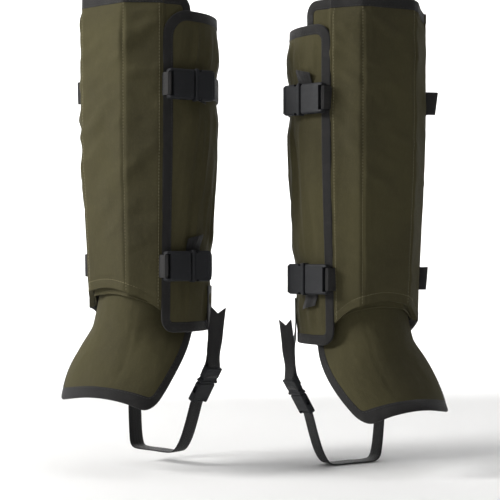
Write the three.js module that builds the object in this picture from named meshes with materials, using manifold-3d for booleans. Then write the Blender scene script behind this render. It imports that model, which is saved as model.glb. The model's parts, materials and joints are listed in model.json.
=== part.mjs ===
// A pair of protective gaiters for the lower legs, standing as they are worn.
//
// Each gaiter has a stiff shin panel of three facets with a plate in each sewn channel, a side panel,
// a calf panel that wraps round the back and closes over the inner side with two strapped buckles,
// a flap over the instep, and a strap with a smaller buckle that runs under the foot.
//
// Units are millimetres. Inside a gaiter X points to the outer side of the leg, Y backwards and Z up,
// and heights start at the ground. An angle round the leg is 0 at the front and grows through the
// outer side (90) and the back (180), so the inner side is at 270 or -90 degrees. An inset is how far
// a face lies inside the gaiter's outer section: a negative inset stands proud of it.

import * as THREE from "three";
import { mergeVertices } from "three/addons/utils/BufferGeometryUtils.js";
import Module from "manifold-3d";

const wasm = await Module();
wasm.setup();

// The pair: the origin lies between the legs, at calf height
const ORIGIN_HEIGHT = 240;
// footTurn is how far each foot, and with it the flap, points outwards of its shin, and lift is how
// much higher than usual the gaiter sits
const LEGS = [
  { name: "left", offset: 118, lift: -8, toeOut: 29, footTurn: 4, mirror: 1 },
  { name: "right", offset: 111, lift: 6, toeOut: 40, footTurn: -11.7, mirror: -1 },
];

// Section of the shaft at the calf, measured from the leg's axis
const FRONT_FACET = 72;
const SIDE_FACET = 73.2;
const SIDE_FACET_TURN = 45;
const CALF_RADIUS = 74.2;
const FRONT_CORNER = 23.6;
const SIDE_CORNER = 54.6;

// The shaft narrows from the calf down to the ankle
const ANKLE_NARROWING = 0.12;
const NARROWING_TOP = 400;
const NARROWING_BOTTOM = 140;

// Heights above the ground
const SHIN_TOP = 508;
const SHIN_TOP_SIDE_DROP = 8;
const HEM_FRONT = 195;
const HEM_SIDE_DROP = 23;
const CALF_TOP_EDGE = 487;
const CALF_TOP_BACK_DROP = 12;
const CALF_TOP_RISE_START = 150;
const CALF_TOP_RISE_END = 235;
const CALF_BOTTOM = 149;
const UPPER_STRAP = 409;
const LOWER_STRAP = 218;

// Where the panels end round the leg, in degrees
const UNDERLAP_EDGE = -82;
const UNDERLAP_START = -57;
const WRAP_HINGE_ANGLE = 108;
const WRAP_HINGE_RADIUS = 73.5;
const HINGE_GAP = 0.9;
const CALF_EDGE = 303.4;

// Layers and edges
const PANEL = 1.8;
const SHIN_PADDING = 6;
const SHIN_SKIN = 1.6;
const PLATE = 1.8;
const PLATE_PLAY = 0.45;
const PLATE_MARGIN_ANGLE = 3.5;
const PLATE_PLAY_ANGLE = 0.5;
const PLATE_TOP_MARGIN = 2;
const PLATE_HEM_MARGIN = 12;
const UNDERLAP_OUTSIDE = 3.7;
const UNDERLAP_INSIDE = 5.1;
const TAPE = 9.5;
const TAPE_PROUD = 0.6;
const GAP = 0.4;
const UNDERLAP_CORNER = 14;
const CALF_TOP_CORNER = 22;
const CALF_BOTTOM_CORNER = 14;

// Webbing
const STRAP_WIDTH = 25;
const STRAP = 1.6;
const STRAP_LIFT = 0.7;
const STRAP_SHIN_END = 57;
const STRAP_HINGE_GAP = 2.1;
const STRAP_PLUG_END = 272;
const FOOT_STRAP_WIDTH = 20;

// Side-release buckle for the wide webbing. Lengths run from its middle towards the plug's strap.
const BUCKLE_ANGLE = 288;
const BUCKLE_SHIFT = 7;
const BUCKLE_CLEARANCE = 1.5;
const BUCKLE_THICK = 9;
const BUCKLE_HALF_WIDTH = 16.5;
const BUCKLE_CORNER = 3;
const SOCKET_START = -27;
const SOCKET_MOUTH = 3;
const SOCKET_BAR = 2;
const SOCKET_BAR_THICK = 3.6;
const SOCKET_SLOT = 3.6;
const SOCKET_SLOT_HALF = 13;
const CAVITY_START = -18.5;
const CAVITY_HALF = 13.5;
const CAVITY_DEEP = 5;
const WINDOW_START = -13.5;
const WINDOW_END = -4;
const PLUG_START = 3.8;
const PLUG_END = 27;
const PLUG_HALF_WIDTH = 15.5;
const PLUG_THICK = 7.6;
const PLUG_SLOTS = [9, 18];
const TONGUE_START = -14;
const TONGUE_HALF = 4;
const TONGUE_THICK = 3.6;
const PRONG_END = 3.3;
const PRONG_INNER = 8.2;
const PRONG_OUTER = 11.2;
const PRONG_HEAD = 13.1;
const PRONG_TIP = -13.6;
const PRONG_THICK = 3.4;
const CATCH_CLEARANCE = 0.6;
const CATCH_RAMP = 1;
const TIP_TAPER = 3;
const TIP_WIDTH = 2;
const ANCHOR = 1.4;
const ANCHOR_PLAY = 1;

// Smaller buckle on the foot strap: its middle and the way it points, in the gaiter's frame
const FOOT_BUCKLE_SIZE = 0.8;
const FOOT_BUCKLE_MIDDLE = new THREE.Vector3(-58.7, 27, 89);
const FOOT_BUCKLE_WAY = new THREE.Vector3(-0.476, 0.09, 0.879);

// Instep flap: its top is a ring inside the ankle, its bottom edge lies over the boot
const FLAP = 2;
const FLAP_RING_RADIUS = 53;
const FLAP_RING_HEIGHT = 201;
const FLAP_RING_ANGLE = 98;
const FLAP_EDGE_HALF_WIDTH = 56;
const FLAP_CORNER_REACH = 86;
const FLAP_MIDDLE_REACH = 107;
const FLAP_CORNER_HEIGHT = 69;
const FLAP_MIDDLE_HEIGHT = 85;
const FLAP_HOLLOW = 14;
const FLAP_BULGE = 12;
const FLAP_BULGE_START = 0.42;
const FLAP_RING_ARC = 92;
const FLAP_EDGE_ARC = 66;
const FLAP_LENGTH = 127;
const FLAP_COLUMNS = 14;
const FLAP_ROWS = 7;

// ---------------------------------------------------------------------------------------------
// Materials, one for each kind of stuff

const colours = {
  fabric: { color: 0x4b4632, roughness: 0.85, metalness: 0 },
  tape: { color: 0x232222, roughness: 0.8, metalness: 0 },
  webbing: { color: 0x1d1c1c, roughness: 0.75, metalness: 0 },
  buckle: { color: 0x2c2d31, roughness: 0.5, metalness: 0 },
  plate: { color: 0xb8bcc0, roughness: 0.35, metalness: 0 },
};

// ---------------------------------------------------------------------------------------------
// Solids

const { lerp, smoothstep, degToRad, radToDeg } = THREE.MathUtils;

function solid(geometry) {
  geometry.deleteAttribute("normal");
  geometry.deleteAttribute("uv");
  const merged = mergeVertices(geometry, 1e-4);
  return new wasm.Manifold(
    new wasm.Mesh({
      numProp: 3,
      vertProperties: merged.attributes.position.array,
      triVerts: new Uint32Array(merged.index.array),
    }),
  );
}

function piece(name, body, colour) {
  const { vertProperties, triVerts } = body.getMesh();
  const geometry = new THREE.BufferGeometry();
  geometry.setAttribute("position", new THREE.BufferAttribute(vertProperties, 3));
  geometry.setIndex(new THREE.BufferAttribute(triVerts, 1));
  geometry.computeVertexNormals();
  const mesh = new THREE.Mesh(geometry, new THREE.MeshStandardMaterial(colours[colour]));
  mesh.name = name;
  return mesh;
}

function block([x0, x1], [y0, y1], [z0, z1]) {
  const box = new THREE.BoxGeometry(x1 - x0, y1 - y0, z1 - z0);
  box.translate((x0 + x1) / 2, (y0 + y1) / 2, (z0 + z1) / 2);
  return solid(box);
}

// A plate of the given outline, as thick as stated about its own middle plane
function plate(outline, thickness) {
  const flat = new THREE.ExtrudeGeometry(outline, {
    depth: thickness,
    bevelEnabled: false,
    curveSegments: 3,
  });
  flat.translate(0, 0, -thickness / 2);
  return solid(flat);
}

function roundedRectangle(x0, x1, halfWidth, corner) {
  const outline = new THREE.Shape();
  outline.absarc(x1 - corner, halfWidth - corner, corner, 0, Math.PI / 2);
  outline.absarc(x0 + corner, halfWidth - corner, corner, Math.PI / 2, Math.PI);
  outline.absarc(x0 + corner, corner - halfWidth, corner, Math.PI, Math.PI * 1.5);
  outline.absarc(x1 - corner, corner - halfWidth, corner, Math.PI * 1.5, Math.PI * 2);
  return outline;
}

function stepsBetween(start, end, count) {
  return Array.from({ length: count + 1 }, (_, i) => lerp(start, end, i / count));
}

// A box with a grid on its two large faces, bent so that each grid point goes where place() says
function bentSlab(across, along, inside, outside, place) {
  const box = new THREE.BoxGeometry(1, 1, 1, across.length - 1, along.length - 1, 1);
  const position = box.getAttribute("position");
  for (let i = 0; i < position.count; i++) {
    const column = Math.round((position.getX(i) + 0.5) * (across.length - 1));
    const row = Math.round((position.getY(i) + 0.5) * (along.length - 1));
    const depth = position.getZ(i) > 0 ? outside : inside;
    const point = place(across[column], along[row], depth);
    position.setXYZ(i, point.x, point.y, point.z);
  }
  return solid(box);
}

// ---------------------------------------------------------------------------------------------
// The shaft's section and how it narrows

function narrowing(height) {
  return 1 - ANKLE_NARROWING * (1 - smoothstep(height, NARROWING_BOTTOM, NARROWING_TOP));
}

function reach(angle, inset) {
  const turn = Math.abs(((angle + 180) % 360) - 180);
  if (turn <= FRONT_CORNER) return (FRONT_FACET - inset) / Math.cos(degToRad(turn));
  if (turn <= SIDE_CORNER) {
    return (SIDE_FACET - inset) / Math.cos(degToRad(turn - SIDE_FACET_TURN));
  }
  return CALF_RADIUS - inset;
}

function legPoint(angle, inset, height) {
  const radius = reach(angle, inset) * narrowing(height);
  const turn = degToRad(angle);
  return new THREE.Vector3(radius * Math.sin(turn), -radius * Math.cos(turn), height);
}

// The angles of a wall's columns: its ends, the section's corners, and even steps between them
function anglesBetween(from, to, step, corners) {
  const stops = [from, ...corners.filter((corner) => corner > from && corner < to), to];
  const angles = [from];
  for (let i = 1; i < stops.length; i++) {
    const count = Math.ceil((stops[i] - stops[i - 1]) / step);
    angles.push(...stepsBetween(stops[i - 1], stops[i], count).slice(1));
  }
  return angles;
}

const SECTION_CORNERS = [-SIDE_CORNER, -FRONT_CORNER, FRONT_CORNER, SIDE_CORNER];
const ONE_FACET = 60;
const FACETED_STEP = 16;
const ROUND_STEP = 8;

// A wall round the leg. Its limits may be numbers or functions of the angle.
function wall({ from, to, bottom, top, outside, inside, step = 9, levels = 7, corners }) {
  const at = (limit, angle) => (typeof limit === "function" ? limit(angle) : limit);
  const place = (angle, share, inset) => {
    const height = lerp(at(bottom, angle), at(top, angle), share);
    return legPoint(angle, at(inset, angle), height);
  };
  const columns = anglesBetween(from, to, step, corners ?? SECTION_CORNERS);
  return bentSlab(columns, stepsBetween(0, 1, levels), inside, outside, place);
}

// How far a rounded corner falls short at a distance from the edge
function cornerDrop(distance, radius) {
  if (distance >= radius) return 0;
  const along = radius - Math.max(distance, 0);
  return radius - Math.sqrt(radius * radius - along * along);
}

const arcLength = (degrees) => degToRad(degrees) * CALF_RADIUS;
const arcDegrees = (length) => radToDeg(length / CALF_RADIUS);

// ---------------------------------------------------------------------------------------------
// Edges of the panels

function shinTop(angle) {
  const outerDrop = SHIN_TOP_SIDE_DROP * smoothstep(angle, FRONT_CORNER, SIDE_CORNER);
  return SHIN_TOP - outerDrop - cornerDrop(arcLength(angle - UNDERLAP_EDGE), UNDERLAP_CORNER);
}

function shinHem(angle) {
  return HEM_FRONT - HEM_SIDE_DROP * Math.min((angle / SIDE_CORNER) ** 2, 1);
}

function calfLine(angle) {
  return CALF_TOP_EDGE - CALF_TOP_BACK_DROP * (1 - smoothstep(angle, CALF_TOP_RISE_START, CALF_TOP_RISE_END));
}

function calfTop(angle) {
  return calfLine(angle) - cornerDrop(arcLength(CALF_EDGE - angle), CALF_TOP_CORNER);
}

function calfBottom(angle) {
  return CALF_BOTTOM + cornerDrop(arcLength(CALF_EDGE - angle), CALF_BOTTOM_CORNER);
}

function sideTop(angle) {
  const share = smoothstep(angle, SIDE_CORNER, WRAP_HINGE_ANGLE);
  return lerp(shinTop(SIDE_CORNER), calfLine(WRAP_HINGE_ANGLE), share);
}

function sideBottom(angle) {
  return lerp(shinHem(SIDE_CORNER), CALF_BOTTOM, smoothstep(angle, SIDE_CORNER, WRAP_HINGE_ANGLE));
}

// ---------------------------------------------------------------------------------------------
// Shin: a padded panel whose channels hold the plates, its underlap, and the tape on its top edge

const ROUNDING = 0.1;
const underlap = (angle) => angle < UNDERLAP_START + ROUNDING;
const SHIN_CORNERS = [
  ...[3, 7, 11].map((past) => UNDERLAP_EDGE + past),
  UNDERLAP_START,
  ...SECTION_CORNERS,
];
const panelTop = (angle) => shinTop(angle) - TAPE - 2 * GAP;

// Each channel runs between two angles round the leg
const CHANNELS = [
  { name: "middle", from: -FRONT_CORNER, to: FRONT_CORNER },
  { name: "outer", from: FRONT_CORNER, to: SIDE_CORNER },
  { name: "inner", from: -SIDE_CORNER, to: -FRONT_CORNER },
];

function shinPlate({ from, to }, play) {
  const margin = PLATE_MARGIN_ANGLE - (play ? PLATE_PLAY_ANGLE : 0);
  return wall({
    from: from + margin,
    to: to - margin,
    bottom: (angle) => shinHem(angle) + PLATE_HEM_MARGIN - play,
    top: (angle) => (play ? SHIN_TOP : panelTop(angle) - PLATE_TOP_MARGIN),
    outside: SHIN_SKIN + PLATE_PLAY - play,
    inside: SHIN_SKIN + PLATE_PLAY + PLATE + play,
    step: ONE_FACET,
  });
}

function shinPanel() {
  const panel = wall({
    from: UNDERLAP_EDGE,
    to: SIDE_CORNER,
    bottom: shinHem,
    top: panelTop,
    outside: (angle) => (underlap(angle) ? UNDERLAP_OUTSIDE : 0),
    inside: (angle) => (underlap(angle) ? UNDERLAP_INSIDE : SHIN_PADDING),
    step: FACETED_STEP,
    corners: SHIN_CORNERS,
  });
  return CHANNELS.reduce((body, channel) => body.subtract(shinPlate(channel, PLATE_PLAY)), panel);
}

function shinTape() {
  return wall({
    from: UNDERLAP_EDGE,
    to: SIDE_CORNER,
    bottom: (angle) => shinTop(angle) - TAPE,
    top: shinTop,
    outside: (angle) => (underlap(angle) ? UNDERLAP_OUTSIDE : 0) - TAPE_PROUD,
    inside: (angle) => (underlap(angle) ? UNDERLAP_INSIDE : SHIN_PADDING) + TAPE_PROUD,
    step: FACETED_STEP,
    levels: 1,
    corners: SHIN_CORNERS,
  });
}

// ---------------------------------------------------------------------------------------------
// Side panel, calf panel and the tape round the calf panel's edges

function sidePanel() {
  return wall({
    from: SIDE_CORNER + HINGE_GAP,
    to: WRAP_HINGE_ANGLE - HINGE_GAP,
    bottom: sideBottom,
    top: sideTop,
    outside: 0,
    inside: PANEL,
  });
}

// Columns that follow the panel's rounded corners at its free edge
const CORNER_COLUMNS = [20, 14, 8, 4, 1.5].map((before) => CALF_EDGE - before);
const CUT_PAST = 5;
const CUT_THROUGH = 10;

// The calf panel's field, a tape's width inside its top, bottom and free edges
function calfField({ from, shrink, outside, inside }) {
  const edge = CALF_EDGE - arcDegrees(shrink);
  const drop = (angle, radius) => cornerDrop(arcLength(edge - angle), radius - shrink);
  return wall({
    from,
    to: edge,
    bottom: (angle) => CALF_BOTTOM + shrink + drop(angle, CALF_BOTTOM_CORNER),
    top: (angle) => calfLine(angle) - shrink - drop(angle, CALF_TOP_CORNER),
    outside,
    inside,
    step: ROUND_STEP,
    corners: CORNER_COLUMNS.slice(0, 2),
  });
}

function calfPanel() {
  return calfField({
    from: WRAP_HINGE_ANGLE + HINGE_GAP,
    shrink: TAPE + 2 * GAP,
    outside: 0,
    inside: PANEL,
  });
}

function calfTape() {
  const whole = wall({
    from: WRAP_HINGE_ANGLE + HINGE_GAP,
    to: CALF_EDGE,
    bottom: calfBottom,
    top: calfTop,
    outside: -TAPE_PROUD,
    inside: PANEL,
    step: ROUND_STEP,
    corners: CORNER_COLUMNS,
  });
  const through = calfField({
    from: WRAP_HINGE_ANGLE - CUT_PAST,
    shrink: TAPE,
    outside: -CUT_THROUGH,
    inside: CUT_THROUGH,
  });
  return whole.subtract(through);
}

// ---------------------------------------------------------------------------------------------
// Straps round the leg

function legStrap(middle, from, to) {
  return wall({
    from,
    to,
    bottom: middle - STRAP_WIDTH / 2,
    top: middle + STRAP_WIDTH / 2,
    outside: -STRAP_LIFT - STRAP,
    inside: -STRAP_LIFT,
    levels: 1,
  });
}

// ---------------------------------------------------------------------------------------------
// Side-release buckle, lying flat: X points from the socket to the plug, Z away from the leg

function buckleSocket() {
  const body = plate(
    roundedRectangle(SOCKET_START, SOCKET_MOUTH, BUCKLE_HALF_WIDTH, BUCKLE_CORNER),
    BUCKLE_THICK,
  );
  const deep = [-CAVITY_DEEP / 2, CAVITY_DEEP / 2];
  const cavity = block([CAVITY_START, SOCKET_MOUTH + 1], [-CAVITY_HALF, CAVITY_HALF], deep);
  const wide = BUCKLE_HALF_WIDTH + 1;
  const windows = block([WINDOW_START, WINDOW_END], [-wide, wide], deep);
  const slotStart = SOCKET_START + SOCKET_BAR;
  const slotWide = [-SOCKET_SLOT_HALF, SOCKET_SLOT_HALF];
  const slot = block([slotStart, slotStart + SOCKET_SLOT], slotWide, [-BUCKLE_THICK, BUCKLE_THICK]);
  const hollows = [
    [-BUCKLE_THICK, -SOCKET_BAR_THICK / 2],
    [SOCKET_BAR_THICK / 2, BUCKLE_THICK],
  ].map((height) => block([SOCKET_START - 1, slotStart + 1], slotWide, height));
  return [cavity.add(windows), slot, ...hollows].reduce((left, cut) => left.subtract(cut), body);
}

function bucklePlug() {
  const base = plate(roundedRectangle(PLUG_START, PLUG_END, PLUG_HALF_WIDTH, BUCKLE_CORNER), PLUG_THICK);
  const tongue = block(
    [TONGUE_START, PLUG_START + 1],
    [-TONGUE_HALF, TONGUE_HALF],
    [-TONGUE_THICK / 2, TONGUE_THICK / 2],
  );
  const slotWide = [-SOCKET_SLOT_HALF, SOCKET_SLOT_HALF];
  const slots = PLUG_SLOTS.map((start) =>
    block([start, start + SOCKET_SLOT], slotWide, [-PLUG_THICK, PLUG_THICK]),
  );
  return slots.reduce((left, slot) => left.subtract(slot), base.add(tongue));
}

// A sprung arm with a catch at its tip, on the side of the tongue that the sign says
function buckleProng(sign) {
  const outline = new THREE.Shape(
    [
      [PRONG_END, PRONG_INNER],
      [PRONG_END, PRONG_OUTER],
      [WINDOW_END - CATCH_CLEARANCE, PRONG_OUTER],
      [WINDOW_END - CATCH_CLEARANCE - CATCH_RAMP, PRONG_HEAD],
      [WINDOW_START + TIP_TAPER, PRONG_HEAD],
      [PRONG_TIP, PRONG_INNER + TIP_WIDTH],
      [PRONG_TIP, PRONG_INNER],
    ].map(([x, y]) => new THREE.Vector2(x, y * sign)),
  );
  return plate(outline, PRONG_THICK);
}

// The webbing that holds the socket: a loop round its bar, and a tail down to the shin's edge
function buckleAnchor(tailEnd) {
  const nearSide = SOCKET_START - GAP - ANCHOR;
  const farSide = SOCKET_START + SOCKET_BAR + GAP + ANCHOR;
  const high = SOCKET_BAR_THICK / 2 + GAP + ANCHOR;
  const outline = new THREE.Shape(
    [
      [nearSide, tailEnd],
      [nearSide + ANCHOR, tailEnd],
      [nearSide + ANCHOR, -high],
      [farSide, -high],
      [farSide, high],
      [nearSide, high],
    ].map(([x, z]) => new THREE.Vector2(x, z)),
  );
  const hole = new THREE.Path(
    [
      [nearSide + ANCHOR, ANCHOR - high],
      [nearSide + ANCHOR, high - ANCHOR],
      [farSide - ANCHOR, high - ANCHOR],
      [farSide - ANCHOR, ANCHOR - high],
    ].map(([x, z]) => new THREE.Vector2(x, z)),
  );
  outline.holes.push(hole);
  const width = 2 * (SOCKET_SLOT_HALF - ANCHOR_PLAY);
  const loop = new THREE.ExtrudeGeometry(outline, { depth: width, bevelEnabled: false });
  loop.rotateX(Math.PI / 2);
  loop.translate(0, width / 2, 0);
  return solid(loop);
}

// A group whose X, Y and Z axes are the buckle's own
function buckleGroup(name, middle, way, outwards, size) {
  const side = new THREE.Vector3().crossVectors(outwards, way).normalize();
  const outside = new THREE.Vector3().crossVectors(way, side).normalize();
  const group = new THREE.Group();
  group.name = name;
  group.setRotationFromMatrix(new THREE.Matrix4().makeBasis(way, side, outside));
  group.position.copy(middle);
  group.scale.setScalar(size);
  return group;
}

function addBuckle(group, name, prongs) {
  group.add(piece(`${name}_buckle_socket`, buckleSocket(), "buckle"));
  group.add(piece(`${name}_buckle_plug`, bucklePlug(), "buckle"));
  prongs.forEach((prong, i) => {
    group.add(piece(`${name}_buckle_prong_${prong}`, buckleProng(i ? -1 : 1), "buckle"));
  });
}

// A buckle on the shaft lies along the surface, so that it parts as the calf panel swings open
function shaftBuckle(name, height) {
  const turn = degToRad(BUCKLE_ANGLE);
  const outwards = new THREE.Vector3(Math.sin(turn), -Math.cos(turn), 0);
  const way = new THREE.Vector3(-Math.cos(turn), -Math.sin(turn), 0);
  const surface = CALF_RADIUS * narrowing(height);
  const distance = surface + BUCKLE_CLEARANCE + BUCKLE_THICK / 2;
  const middle = outwards.clone().multiplyScalar(distance);
  middle.addScaledVector(way, BUCKLE_SHIFT).setZ(height);
  const group = buckleGroup(`${name}_buckle`, middle, way, outwards, 1);
  addBuckle(group, name, ["low", "high"]);
  const shinEdge = surface * Math.cos(degToRad(360 - SIDE_CORNER - BUCKLE_ANGLE));
  const tailEnd = shinEdge - distance + 2 * GAP;
  group.add(piece(`${name}_buckle_anchor`, buckleAnchor(tailEnd), "webbing"));
  return group;
}

// ---------------------------------------------------------------------------------------------
// Instep flap. Across runs from -1 at the inner edge to 1 at the outer edge, along from 0 at the
// ankle to 1 at the bottom edge. It twists towards the bottom, where it follows the foot.

const UPRIGHT = new THREE.Vector3(0, 0, 1);

function flapSurface(across, along, footTurn) {
  const ringTurn = degToRad(across * FLAP_RING_ANGLE);
  const edgeTurn = (across * Math.PI) / 2;
  const ring = new THREE.Vector3(
    FLAP_RING_RADIUS * Math.sin(ringTurn),
    -FLAP_RING_RADIUS * Math.cos(ringTurn),
    FLAP_RING_HEIGHT,
  );
  const edge = new THREE.Vector3(
    FLAP_EDGE_HALF_WIDTH * Math.sin(edgeTurn),
    -lerp(FLAP_CORNER_REACH, FLAP_MIDDLE_REACH, Math.cos(edgeTurn)),
    lerp(FLAP_CORNER_HEIGHT, FLAP_MIDDLE_HEIGHT, Math.cos(edgeTurn)),
  );
  const point = ring.lerp(edge, along);
  const below = Math.max(0, (along - FLAP_BULGE_START) / (1 - FLAP_BULGE_START));
  point.x += FLAP_BULGE * Math.sin(below * Math.PI) * Math.sin(edgeTurn);
  point.y += FLAP_HOLLOW * Math.sin(along * Math.PI);
  return point.applyAxisAngle(UPRIGHT, degToRad(footTurn * along));
}

function flapPoint(across, along, inset, footTurn) {
  const at = (sideStep, step) => flapSurface(across + sideStep, along + step, footTurn);
  const reachOut = 0.01;
  const sideways = at(reachOut, 0).sub(at(-reachOut, 0));
  const upwards = at(0, -reachOut).sub(at(0, reachOut));
  const outwards = sideways.cross(upwards).normalize();
  return at(0, 0).addScaledVector(outwards, -inset);
}

// The flap's field, shrunk from its side and bottom edges
function flapField({ shrink, start, outside, inside, footTurn }) {
  const place = (across, along, inset) => {
    const share = 1 - shrink / lerp(FLAP_RING_ARC, FLAP_EDGE_ARC, along);
    return flapPoint(across * share, along, inset, footTurn);
  };
  const columns = stepsBetween(-1, 1, FLAP_COLUMNS);
  const rows = stepsBetween(1 - shrink / FLAP_LENGTH, start, FLAP_ROWS);
  return bentSlab(columns, rows, inside, outside, place);
}

function instepFlap(footTurn) {
  return flapField({ shrink: TAPE + 5 * GAP, start: 0, outside: 0, inside: FLAP, footTurn });
}

function instepTape(footTurn) {
  const whole = flapField({ shrink: 0, start: 0, outside: -TAPE_PROUD, inside: FLAP, footTurn });
  const through = flapField({ shrink: TAPE, start: -0.1, outside: -8, inside: 8, footTurn });
  return whole.subtract(through);
}

// ---------------------------------------------------------------------------------------------
// Foot strap: webbing along a route, turned from the leg's surface to lie flat under the foot

const FOOT_STRAP_ANGLE = 120.5;
const FOOT_STRAP_RADIUS = 67.8;
const FOOT_STRAP_SEAM = [196, 160];
const TURN_BOTTOM = 115;
const TURN_TOP = 165;

function seamPoint(side, height) {
  const turn = degToRad(FOOT_STRAP_ANGLE) * side;
  return new THREE.Vector3(
    FOOT_STRAP_RADIUS * Math.sin(turn),
    -FOOT_STRAP_RADIUS * Math.cos(turn),
    height,
  );
}

// A point on the strap's route that lies beside the foot buckle
function besideBuckle(along, outwards) {
  const out = new THREE.Vector3(-FOOT_BUCKLE_WAY.z, 0, FOOT_BUCKLE_WAY.x);
  return FOOT_BUCKLE_MIDDLE.clone()
    .addScaledVector(FOOT_BUCKLE_WAY, along)
    .addScaledVector(out, outwards);
}

const toPoints = (list) => list.map((point) => new THREE.Vector3(...point));

const UPPER_ROUTE = [
  ...FOOT_STRAP_SEAM.map((height) => seamPoint(-1, height)),
  ...toPoints([
    [-63.5, 33, 143],
    [-66.5, 31, 128],
    [-66, 29.5, 115],
  ]),
  besideBuckle(20, -4.9),
  besideBuckle(13, -4.9),
];

const LOWER_ROUTE = [
  besideBuckle(SOCKET_START * FOOT_BUCKLE_SIZE - 1.5, 0),
  ...toPoints([
    [-42.5, 21, 44],
    [-38, 17.5, 27],
    [-32, 14.5, 16.5],
    [-23, 14, 13.8],
    [23, 14, 13.8],
    [32, 14.5, 16.5],
    [38, 17.5, 27],
    [43, 21, 48],
    [49, 26, 80],
    [55, 31, 115],
    [58.5, 33.5, 142],
  ]),
  ...[...FOOT_STRAP_SEAM].reverse().map((height) => seamPoint(1, height)),
];

// The strap's side to side way: fore and aft under the foot, along the surface on the leg
function strapSideways(point) {
  const turn = Math.atan2(point.x, -point.y);
  const onLeg = new THREE.Vector3(Math.cos(turn), Math.sin(turn), 0);
  onLeg.multiplyScalar(point.x < 0 ? -1 : 1);
  const share = smoothstep(point.z, TURN_BOTTOM, TURN_TOP);
  return new THREE.Vector3(0, 1, 0).lerp(onLeg, share).normalize();
}

function footStrap(route) {
  const place = (across, row, depth) => {
    const before = route[Math.max(row - 1, 0)];
    const after = route[Math.min(row + 1, route.length - 1)];
    const along = after.clone().sub(before).normalize();
    const sideways = strapSideways(route[row]);
    sideways.addScaledVector(along, -sideways.dot(along)).normalize();
    const outwards = along.clone().cross(sideways);
    return route[row].clone().addScaledVector(sideways, across).addScaledVector(outwards, depth);
  };
  const half = FOOT_STRAP_WIDTH / 2;
  const rows = route.map((_, row) => row);
  return bentSlab([half, -half], rows, -STRAP / 2, STRAP / 2, place);
}

// ---------------------------------------------------------------------------------------------
// One gaiter, and the pair

function gaiter(name, footTurn) {
  const group = new THREE.Group();
  group.add(piece(`${name}_shin_panel`, shinPanel(), "fabric"));
  for (const channel of CHANNELS) {
    group.add(piece(`${name}_shin_plate_${channel.name}`, shinPlate(channel, 0), "plate"));
  }
  group.add(piece(`${name}_shin_tape`, shinTape(), "tape"));
  group.add(piece(`${name}_side_panel`, sidePanel(), "fabric"));
  group.add(piece(`${name}_calf_panel`, calfPanel(), "fabric"));
  group.add(piece(`${name}_calf_tape`, calfTape(), "tape"));
  group.add(piece(`${name}_instep_flap`, instepFlap(footTurn), "fabric"));
  group.add(piece(`${name}_instep_tape`, instepTape(footTurn), "tape"));
  const straps = [
    ["upper", UPPER_STRAP],
    ["lower", LOWER_STRAP],
  ];
  for (const [place, height] of straps) {
    const label = `${name}_${place}`;
    const sideEnd = WRAP_HINGE_ANGLE - STRAP_HINGE_GAP;
    const rearStart = WRAP_HINGE_ANGLE + STRAP_HINGE_GAP;
    const side = legStrap(height, STRAP_SHIN_END, sideEnd);
    const rear = legStrap(height, rearStart, STRAP_PLUG_END);
    group.add(piece(`${label}_side_strap`, side, "webbing"));
    group.add(piece(`${label}_rear_strap`, rear, "webbing"));
    group.add(shaftBuckle(label, height));
  }
  group.add(piece(`${name}_foot_strap_upper`, footStrap(UPPER_ROUTE), "webbing"));
  group.add(piece(`${name}_foot_strap_lower`, footStrap(LOWER_ROUTE), "webbing"));
  const way = FOOT_BUCKLE_WAY.clone().normalize();
  const outwards = new THREE.Vector3(-way.z, 0, way.x);
  const foot = buckleGroup(`${name}_foot_buckle`, FOOT_BUCKLE_MIDDLE, way, outwards, FOOT_BUCKLE_SIZE);
  addBuckle(foot, `${name}_foot`, ["rear", "front"]);
  group.add(foot);
  return group;
}

const pair = new THREE.Group();
pair.position.z = -ORIGIN_HEIGHT;
for (const leg of LEGS) {
  const stance = gaiter(leg.name, leg.footTurn);
  stance.position.set(leg.offset, 0, leg.lift);
  stance.rotation.z = degToRad(leg.toeOut);
  const side = new THREE.Group();
  side.name = `${leg.name}_leg`;
  side.scale.x = leg.mirror;
  side.add(stance);
  pair.add(side);
}

export default pair;
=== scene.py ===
"""The looks of a pair of protective gaiters: cloth, tape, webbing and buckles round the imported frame.

Everything is in metres. Inside one gaiter u points to the outer side of the leg, v backwards, and
heights start at the ground. An angle round the leg is 0 at the front, 90 at the outer side and 180
at the back, in degrees. An inset is how far a point lies inside the shaft's outer section.
"""
import json
import math

import bpy
import numpy as np
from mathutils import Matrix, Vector, noise


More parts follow.
